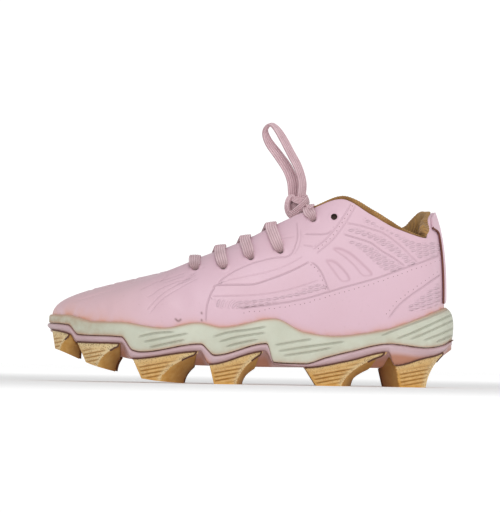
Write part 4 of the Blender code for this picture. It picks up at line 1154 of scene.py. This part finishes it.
class StudForm:
    """Outline of one shark-fin stud, at any share of the way from its outer face to its inner end."""

    def __init__(self, stud, side, edge):
        self.stud, self.sign = stud, SIDES[side]
        half = len(edge) // 2
        near, far = (edge[half::-1], edge[half:])[::1 if self.sign < 0 else -1]
        self.edge_at = lambda x: np.interp(x, near[:, 0], near[:, 1])
        self.other_at = lambda x: np.interp(x, far[:, 0], far[:, 1])

    def bottom(self, x, y):
        near, far = self.edge_at(x), self.other_at(x)
        middle, half = (near + far) / 2, np.abs(far - near) / 2
        return under_plate(x, np.clip(np.abs(y - middle) / np.maximum(half, 1.0), 0, 1))

    def across(self, x, inset, share):
        return self.edge_at(x) - self.sign * (inset + self.stud.depth * share)

    def sides(self, share, count):
        """Top, rear, foot and front edges, each of count points that run to the rear or down."""
        stud = self.stud
        shift = (stud.in_front - stud.foot_front) * share
        x = np.linspace(stud.top_front + shift, stud.tip + (stud.in_tip - stud.tip) * share, count)
        y = self.across(x, STUD_INSET, share)
        top = grid(x, y, self.bottom(x, y) - GAP)
        foot_rear = stud.foot_rear + (stud.in_rear - stud.foot_rear) * share
        foot_x = np.linspace(stud.foot_front + shift, foot_rear, count)
        foot = grid(foot_x, self.across(foot_x, STUD_TAPER * (1 - share), share), toe_spring(foot_x))
        f = np.linspace(0, 1, count)[:, None]
        knee = top[-1] - UP * STUD_KNEE
        bend = foot[-1] + np.array([STUD_HOLLOW[0], 0, STUD_HOLLOW[1]]) * (knee - foot[-1])
        rear = (1 - f) ** 2 * knee + 2 * f * (1 - f) * bend + f**2 * foot[-1]
        rear[:, 1] = knee[1] + f[:, 0] * (foot[-1][1] - knee[1])
        rear[0] = top[-1]
        return top, rear, foot, top[0] + f * (foot[0] - top[0])


def coons(top, rear, foot, ahead):
    """Face between four edges: rows run down, columns run to the rear."""
    s = np.linspace(0, 1, len(top))[None, :, None]
    v = np.linspace(0, 1, len(ahead))[:, None, None]
    ruled = (1 - v) * top[None] + v * foot[None] + (1 - s) * ahead[:, None] + s * rear[:, None]
    corners = ((1 - v) * ((1 - s) * top[0] + s * top[-1]) + v * ((1 - s) * foot[0] + s * foot[-1]))
    return ruled - corners


STUD_GRID, STUD_DEEP = 44, 16
GROOVE_PITCH, GROOVE_SLOPE, GROOVE_DEEP, FACE_OUT = 2.4, 0.2, 0.6, 0.3
# Painted shade on a stud's top, rear, foot and front faces: how dark they are at their outer and inner ends
STUD_SHADE = [(0.3, 1.0), (0.1, 0.75), (0.1, 0.5), (0.55, 1.0)]
RIM_POINTS, RIM_RADIUS, RIM_OUT = 30, 0.5, 0.3


def make_stud(stud, side, edge):
    """A fin with slanting grooves on its outer face and a smooth hollow behind its wing."""
    form = StudForm(stud, side, edge)
    layers = [form.sides(share, STUD_GRID) for share in np.linspace(0, 1, STUD_DEEP)]
    outer = coons(*layers[0])
    v = np.linspace(0, 1, STUD_GRID)[:, None]
    s = v.T
    rim = np.minimum(np.minimum(v, 1 - v), np.minimum(s, 1 - s)) * STUD_GRID
    inside = smoothstep(1.0, 5.0, rim)
    grooved = smoothstep(0.2, 0.36, v) * inside
    lift = outer[..., 2] - GROOVE_SLOPE * outer[..., 0]
    wave = 0.5 - 0.5 * np.cos(2 * math.pi * (lift - lift[0, 0]) / GROOVE_PITCH)
    groove = wave**4 * grooved
    outer[..., 1] -= form.sign * (GROOVE_DEEP * groove - FACE_OUT * inside)
    wear = 0.75 * np.clip(0.7 * bell(v, 0.3) + bell(1 - s, 0.14), 0, 1) + 0.4 * (1 - wave) ** 3 * grooved
    wear = wear + 0.4 * smoothstep(-50.0, -100.0, outer[..., 0]) * (1 - groove)
    marks = {"hollow": 0.8 * groove, "wear": np.clip(wear, 0, 0.95)}
    # Painted shade: the inner end face is wholly dark and the side faces darken towards it.
    patches = [patch(outer, marks), patch(coons(*layers[-1]), {"inner": 1.0})]
    for rows, shade in zip(zip(*layers), STUD_SHADE):
        patches.append(patch(np.stack(rows), {"inner": np.linspace(*shade, STUD_DEEP)[:, None]}))
    make_piece(f"fin_{stud.name}_{side}", patches, [GUM], [f"stud_{stud.name}_{side}"], 55.0)
    top, rear, _, _ = form.sides(0.0, RIM_POINTS)
    hook = rear[1:RIM_POINTS // 3]
    rim_route = smooth_route(np.concatenate([top[:-1], hook])[::2], 4) + np.array([0, form.sign * RIM_OUT, 0])
    make_cord_seam(f"fin_rim_{stud.name}_{side}", rim_route, RIM_RADIUS, RIM)


# Inside
INSOLE_CUP = 0.8
QUILT_AT, QUILT_DEEP, TONGUE_THIN = 0.2, 0.5, 0.9
GATHER_PITCH, GATHER_DEEP, STITCH_PITCH, STITCH_DEEP = 3.2, 0.22, 1.7, 0.14
ROLL_UPRIGHT = (4.2, 5.0)             # ribs from the heel over which the roll turns upright
HEEL_SEAM_RADIUS, HEEL_SEAM_OUT, SEAM_SIDES = 0.62, 0.1, 10
SEAM_BESIDE = np.array([0.3, 0.9, 0.2])
# Size and depth of the dark discs of painted shade behind the top eyelets
BACK_RADIUS, BACK_MIDDLE, BACK_HALF, BACK_DEEP = 2.9, 0.02, 0.1, 0.25


def make_insole():
    """Sock liner on the footbed, its edge rounded and its face a little cupped."""
    u = both_sides(np.linspace(0, TOE, 130))
    rows = []
    for inset, lift in ((0.5, 0.0), (0.0, 0.4), (0.0, INSOLE - 0.7), (0.7, INSOLE)):
        x, y = outline(u, -(WALL + 3 * GAP + inset))
        rows.append(grid(x, y, footbed(x) + GAP + lift))
    top = sheet_across(rows[-1], 40, lambda x, share: footbed(x) + GAP + INSOLE - INSOLE_CUP * (1 - share**2))
    make_piece("sock_liner", [
        patch(np.stack(rows)), patch(top, None, top[..., :2]),
        patch(sheet_across(rows[0], 8, lambda x, share: footbed(x) + GAP)),
    ], [KNIT], ["insole"])


def tongue_face(along, across, lift):
    """Tongue surface: along its ridge, across it from -1 to 1, lifted by a thickness."""
    x = TONGUE_ROWS[0].x + along * (TONGUE_ROWS[-1].x - TONGUE_ROWS[0].x)
    fall = TONGUE_ARCH * tongue_half(x) * np.abs(across) ** 2.2
    return grid(x, across * tongue_half(x), tongue_ridge(x) - fall + lift)


def make_tongue():
    """Padded tongue: quilted by a seam round its edge, thick in the middle."""
    along = np.linspace(0, 1, 110)[:, None]
    across = np.linspace(-1, 1, 64)[None, :]
    rim = np.minimum(1 - np.abs(across), np.minimum(along, 1 - along) * 3)
    puff = -TONGUE_THIN * (1 - smoothstep(0.0, 0.14, rim)) - QUILT_DEEP * bell(rim - QUILT_AT, 0.035)
    high = tongue_face(along, across, puff)
    low = tongue_face(along, across, -TONGUE - puff * 0.6)
    flat = grid(94 * along, 20 * across)
    # Painted shade in the quilting seam round the tongue.
    marks = {"hollow": 0.6 * bell(rim - QUILT_AT, 0.03)}
    made = make_piece("tongue_pad", [
        patch(high, marks, flat), patch(low, None, flat), *walls(high, low),
    ], [KNIT], ["tongue"])


def make_lining():
    """Padded collar lining that rolls over the edge, gathered inside the heel and overcast along its rim."""
    from_heel = np.linspace(-LINING_REACH, LINING_REACH, 560)
    u = RIB_COUNT + from_heel
    thin = smoothstep(0.0, LINING_FADE, LINING_REACH - np.abs(from_heel))
    fullness = LINING_THIN + (1 - LINING_THIN) * thin
    walked = walk(bezier_wall(u, 1.0))
    full = monotone(ROLL_FULL)(from_heel)
    upright = smoothstep(*ROLL_UPRIGHT, np.abs(from_heel))[:, None]
    away = unit(edge_away(u) * (1 - upright) + UP * upright)
    rows, hollow = [], []
    for t, depth, lift in smooth_route(LINING_ROWS + LINING_ROWS[:1], 6):
        level = np.full_like(u, min(t, 1.0))
        gather = np.cos(2 * math.pi * walked / GATHER_PITCH) * smoothstep(1.5, 3.5, depth)
        stitch = np.cos(2 * math.pi * walked / STITCH_PITCH) * smoothstep(1.2, 2.0, lift)
        inwards = (max(depth, 0.0) + GATHER_DEEP * gather) * fullness
        row = upper_face(u, level, -(WALL + 2 * GAP + inwards))
        row += wall_normal(u, level) * max(-depth, 0.0)
        row += away * (lift * full + STITCH_DEEP * stitch)[:, None]
        rows.append(row)
        # Painted shade in the troughs of the gathers and between the overcast stitches.
        hollow.append(0.35 * np.clip(-gather, 0, 1) + 0.6 * np.clip(-stitch, 0, 1))
    pad = np.stack(rows)
    steps = np.linalg.norm(np.diff(pad, axis=0, prepend=pad[:1]), axis=-1)
    flat = grid(walked[None, :], np.cumsum(steps.mean(1))[:, None])
    made = make_piece("collar_pad", [patch(pad, {"hollow": np.stack(hollow)}, flat)], [KNIT],
                      ["collar_lining"])


def make_backstay():
    """Strip up the back of the heel that widens into its tab, with a brown seam along its edges."""
    low = edge_share(np.array([0.0]))[0] + BACKSTAY_CLEAR
    t = np.linspace(low, 1.0, 90)[:, None]
    half_width = BACKSTAY_HALF + (TAB_HALF - BACKSTAY_HALF) * smoothstep(*TAB_START, t)
    across = np.linspace(-1, 1, 48)[None, :]
    u = half_width * across + RIB_COUNT
    t = np.broadcast_to(t, u.shape)
    edge = smoothstep(1.0, 0.86, np.abs(across)) * smoothstep(low, low + 0.03, t)
    thick = GAP + BACKSTAY * (0.55 + 0.45 * edge)
    outer, inner = upper_face(u, t, thick), upper_face(u, t, GAP)
    # Painted shade along the strip's thinner edges and its foot.
    make_piece("heel_strip", [
        patch(outer, {"hollow": 0.3 * (1 - edge)}), patch(inner), *walls(outer, inner),
    ], [PINK], ["backstay"])
    last = np.searchsorted(t[:, 0], TAB_START[1]) + 1
    for name, column in (("lateral", 0), ("medial", -1)):
        route = (outer + wall_normal(u, t) * HEEL_SEAM_OUT)[:last, column][::3]
        make_cord_seam(f"heel_seam_{name}", route, HEEL_SEAM_RADIUS, SEAM)


def make_eyelet_shade_discs():
    """Dark discs of painted shade behind the top eyelets, that no lace goes through."""
    rounds = [(BACK_MIDDLE, 1), (BACK_RADIUS, 1), (BACK_RADIUS, -1), (BACK_MIDDLE, -1), (BACK_MIDDLE, 1)]
    for i, (centre, axis) in enumerate(list(eyelet_frames())[len(EYELETS) - 1::len(EYELETS)]):
        middle, rim = centre - axis * (WALL + BACK_DEEP), circle(axis, 24)
        disc = np.stack([middle + axis * BACK_HALF * level + rim * wide for wide, level in rounds])
        make_piece(f"eyelet_shade_disc_{i}", [patch(disc)], [HOLE])


def make_cord_seam(name, route, radius, finish):
    """Thin round seam along a route."""
    rings = route[:, None] + radius * circle(unit(np.gradient(route, axis=0)), SEAM_SIDES, SEAM_BESIDE)
    make_piece(name, [patch(rings)], [finish])


# Laces
LACE_SIDES, LACE_STEP, LACE_RIB_HIGH = 72, 0.7, 0.2


def lace_section():
    """Points round the flat tube: its ribs show on both broad faces."""
    turn = np.linspace(0, 2 * math.pi, LACE_SIDES + 1)
    w = np.sign(np.cos(turn)) * np.abs(np.cos(turn)) ** 0.6
    h = np.sign(np.sin(turn)) * np.abs(np.sin(turn)) ** 0.5
    return w, h * (1 + LACE_RIB_HIGH * np.cos(math.pi * LACE_RIBS * w))


def lace_patch(points, facing, width=(1.0,), thick=(1.0,), dark=None):
    """Lace along a route, its broad side turned to the facing directions, with its centreline and length."""
    dense = smooth_route(points, 24)
    walked = walk(dense)
    even = np.linspace(0, walked[-1], max(8, int(walked[-1] / LACE_STEP)))
    path = between(even, walked, dense)
    share = np.interp(even, walked, np.linspace(0, 1, len(dense)))

    def along_route(values):
        rows = np.array(values, float).reshape(len(values), -1)
        return between(share, np.linspace(0, 1, len(rows)), rows)

    along = unit(np.gradient(path, axis=0))
    across = unit(np.cross(along, along_route(facing)))
    face = unit(np.cross(across, along))
    w, h = lace_section()
    broad = along_route(width)[:, None] * w[:, None] * LACE_WIDTH / 2
    deep = along_route(thick)[:, None] * h[:, None] * LACE_THICK / 2
    rings = path[:, None] + broad * across[:, None] + deep * face[:, None]
    marks = {"hollow": dark(np.linspace(0, 1, len(rings)))[:, None]} if dark else None
    return patch(rings, marks, grid(even[:, None], w * LACE_WIDTH / 2)), path, walked[-1]


def edge_rib(x, side):
    """Rib whose top edge is at x on one side of the throat."""
    half = np.linspace(4.5, TOE, 300)
    u = np.interp(-x, -top_x(half), half)
    return u if SIDES[side] < 0 else RIB_COUNT - u


def strand_over_edge(eyelet, side, turn=1.0):
    """Lace out of an eyelet, up the outside and over the throat's edge, with the way it faces."""
    u, t = find_on_upper(eyelet, side)
    u_edge = edge_rib(eyelet.edge_x, side)
    hole, axis, edge = bezier_wall(u, t), wall_normal(u, t), bezier_wall(u_edge, 1.0)
    to_edge = unit(edge - hole)
    start = (EYELET_RADIUS + EYELET_CLEAR) / np.linalg.norm(edge - hole)
    points = [hole - axis * 3.5, hole - axis * 0.6, hole + axis * 0.7 + to_edge * 0.7]
    facing = [-to_edge, -to_edge, unit(axis - to_edge)]
    for share in np.linspace(start, 0.88, 3):
        x, _, z = hole + share * (edge - hole)
        at = find_on_upper(Place(x, z), side)
        points.append(upper_face(*at, LACE_LIFT))
        facing.append(wall_normal(*at))
    points.append(edge + UP * EDGE_LIFT)
    facing.append(UP + 0.3 * wall_normal(u_edge, 1.0))
    return points, [np.array(face) * (turn, 1.0, 1.0) for face in facing]


def over_tongue(x):
    return np.array([x, 0.0, tongue_ridge(x) + LACE_LIFT])


HOLE_WIDTH = [0.5, 0.5, 0.66, 0.98, 1.04, 1.04, 1.04]
HOLE_THICK = [1.5, 1.5, 1.3, 1.05, 1.0, 1.0, 1.0]


# Painted shade of a lace near the ends that go into the eyelet holes.
def shade_at_holes(share):
    return 0.8 * np.exp(-((share / 0.09) ** 2))


BAR_TURN = 0.0            # share of the wall's fore and aft slope that the first bar's flat side follows


def make_lace_bar():
    """First bar, straight across the foot of the throat."""
    near, near_face = strand_over_edge(EYELETS[0], "lateral", BAR_TURN)
    far, far_face = strand_over_edge(EYELETS[0], "medial", BAR_TURN)
    middle = over_tongue(near[-1][0])
    middle[2] = max(middle[2], near[-1][2] - BAR_SAG)
    strand, _, _ = lace_patch(
        near + [middle] + far[::-1], near_face + [UP] + far_face[::-1], HOLE_WIDTH + [1.0] + HOLE_WIDTH[::-1],
        HOLE_THICK + [1.0] + HOLE_THICK[::-1], lambda share: shade_at_holes(share) + shade_at_holes(1 - share))
    make_piece("lace_first_bar", [strand], [LACE], ["lace_bar"])


def make_lace_cross(index):
    """Two strands that come over one edge and go under the other, one over the other where they cross."""
    for lift, (side, other) in ((0.0, ("medial", "lateral")), (1.0, ("lateral", "medial"))):
        points, facing = strand_over_edge(EYELETS[index], side)
        above, below = EYELETS[index].edge_x, EYELETS[index - 1].edge_x
        edge = bezier_wall(edge_rib(above + CROSS_BACK * (below - above), other), 1.0)
        low = edge - UP * CROSS_SINK
        low[1] *= CROSS_TUCK
        under = edge - UP * 5.5
        middle = over_tongue((points[-1][0] + low[0]) / 2) + UP * (CROSS_HUMP + 1.3 * lift)
        strand, _, _ = lace_patch(
            points + [middle, low, under], facing + [UP, UP, UP], HOLE_WIDTH + [1.0, 1.0, 0.9],
            HOLE_THICK + [1.0, 1.0, 1.0], shade_at_holes)
        replaced = [f"lace_cross_{index}"] if lift else []
        make_piece(f"lace_strand_{index}_{side}", [strand], [LACE], replaced)


# The lace round the knot's core, as routes from its middle: over the front, down the toe side, round the
# loop's root
WRAPS = [
    [
        (-4.6, -2.6, -5.6), (-2.4, -4.9, -4.4), (1.5, -5.6, -1.4), (4.9, -4.2, 2.2), (6.0, -0.5, 4.6),
        (3.5, 3.6, 5.4), (-1.5, 4.6, 4.4), (-5.2, 3.0, 1.6)],
    [
        (-2.2, -1.6, 6.6), (-4.8, -2.6, 5.2), (-6.2, -2.8, 1.0), (-5.4, -3.0, -3.6), (-2.2, -3.8, -6.0),
        (2.2, -3.4, -5.6), (4.6, -0.5, -3.6)],
    [
        (-3.8, -2.6, 5.6), (-1.0, -4.6, 4.0), (2.6, -4.4, 3.4), (5.2, -2.0, 4.6), (4.6, 2.2, 6.0),
        (0.0, 4.0, 6.6), (-4.0, 1.6, 6.2)],
]
KNOT_CORE = (5.0, 3.8, 5.6)
WRAP_WIDTH, WRAP_THICK = [0.5, 0.72, 0.78, 0.78, 0.72, 0.5], 1.15


def make_knot():
    """Knot of the bow: a core and the lace wound round it."""
    level = np.linspace(-1, 1, 26)[:, None]
    turn = np.linspace(0, 2 * math.pi, 41)[None, :]
    girth = np.sqrt(np.maximum(1 - level**2, 0.0)) ** 0.7
    core = KNOT + np.array(KNOT_CORE) * grid(girth * np.cos(turn), girth * np.sin(turn), level)
    # The core between the wraps is darkened with painted shade.
    patches = [patch(core, {"hollow": 0.35})]
    for wrap in WRAPS:
        route = np.array(wrap)
        patches.append(lace_patch(KNOT + route, route * (1.0, 1.0, 0.4), WRAP_WIDTH, (WRAP_THICK,))[0])
    return make_piece("bow_knot", patches, [LACE], ["lace_knot"])


LOOP_ROOTS = np.array([(1.4, -1.2, 2.0), (-1.4, 1.2, 2.0)])     # where its two legs leave the knot's middle


def make_loop(knot):
    """Loop of the bow, standing up from the knot and leaning to the toe."""
    route = [KNOT + LOOP_ROOTS[0], *LOOP_ROUTE, KNOT + LOOP_ROOTS[1]]
    strand, path, length = lace_patch(route, LOOP_FACING[:1] + LOOP_FACING + LOOP_FACING[-1:])
    made = make_piece("bow_loop", [strand], [LACE], ["lace_loop"])


# Camera, light and floor
CAMERA_AWAY = 2600.0
CAMERA_HEIGHT = 14.0
AIM = (-1.0, 0.0, 79.0)
IMAGE_TALL = 512
ROLL = math.degrees(math.atan(PHOTO_LEAN))


def make_camera():
    camera = bpy.data.cameras.new("camera")
    camera.sensor_width = 36.0
    camera.lens = camera.sensor_width * CAMERA_AWAY / (IMAGE_TALL * PIXEL)
    camera.clip_start = 0.05
    made = add_object("camera", camera)
    made.location = (AIM[0] * MM, -CAMERA_AWAY * MM, CAMERA_HEIGHT * MM)
    look = Vector(AIM) * MM - made.location
    made.rotation_mode = "QUATERNION"
    turn = look.to_track_quat("-Z", "Y")
    made.rotation_quaternion = turn @ Matrix.Rotation(math.radians(ROLL), 3, "Z").to_quaternion()
    bpy.context.scene.camera = made


def make_light(name, place, aim, size, power):
    lamp = bpy.data.lights.new(name, "AREA")
    lamp.shape = "DISK"
    lamp.size = size
    lamp.energy = power
    made = add_object(name, lamp)
    made.location = place
    made.rotation_mode = "QUATERNION"
    made.rotation_quaternion = (Vector(aim) - Vector(place)).to_track_quat("-Z", "Y")


FLOOR_HALF = 8.0
FLOOR_FADE = (0.35, 1.3)              # metres from the shoe over which the floor fades to white
FLOOR_GREY, FLOOR_GLOW = (0.9, 0.6), (0.15, 0.65)
ROOM_LIGHT, HORIZON_LIGHT = 0.5, 1.1  # above the shoe, and all round it
HORIZON_RISE = (0.1, 0.4)             # sine of the height over which one turns into the other


def make_stage():
    """Pale floor that fades to white, light all round and a soft key from the front."""
    mesh = bmesh.new()
    bmesh.ops.create_grid(mesh, x_segments=1, y_segments=1, size=FLOOR_HALF)
    data = to_data(mesh, "floor")
    paper = Finish("floor_paper", Roughness=0.9, Specular_IOR_Level=0.1, Emission_Color=(1.0, 1.0, 1.0, 1.0))
    away = paper.add("ShaderNodeVectorMath", {0: paper.place}, operation="LENGTH").outputs["Value"]
    near, far = ((grey, grey, grey, 1.0) for grey in FLOOR_GREY)
    paper.set("Base Color", paper.mix(paper.span(away, *FLOOR_FADE), near, far))
    paper.set("Emission Strength", paper.span(away, *FLOOR_FADE, *FLOOR_GLOW))
    data.materials.append(paper.made)
    add_object("floor", data)
    world = bpy.data.worlds.new("studio")
    world.use_nodes = True
    nodes, links = world.node_tree.nodes, world.node_tree.links
    toward = nodes.new("ShaderNodeSeparateXYZ")
    bright = nodes.new("ShaderNodeMapRange")
    links.new(nodes.new("ShaderNodeTexCoord").outputs["Generated"], toward.inputs[0])
    links.new(toward.outputs["Z"], bright.inputs["Value"])
    span = (*HORIZON_RISE, HORIZON_LIGHT, ROOM_LIGHT)
    for socket, value in zip(("From Min", "From Max", "To Min", "To Max"), span):
        bright.inputs[socket].default_value = value
    links.new(bright.outputs[0], nodes["Background"].inputs["Strength"])
    nodes["Background"].inputs["Color"].default_value = (1.0, 1.0, 1.0, 1.0)
    bpy.context.scene.world = world
    make_light("key", (0.35, -1.6, 1.15), (0.0, 0.0, 0.06), 1.0, 10.0)
    bpy.context.scene.view_settings.view_transform = "Standard"


make_camera()
make_stage()
outer_face, outer_normal = make_upper()
make_pin_dots(outer_face, outer_normal)
plate_edge = make_plate(make_midsole())
for row in STUDS:
    for foot_side in SIDES:
        make_stud(row, foot_side, plate_edge)
make_insole()
make_tongue()
make_lining()
make_backstay()
make_eyelet_shade_discs()
make_lace_bar()
for crossing in range(1, 5):
    make_lace_cross(crossing)
make_loop(make_knot())
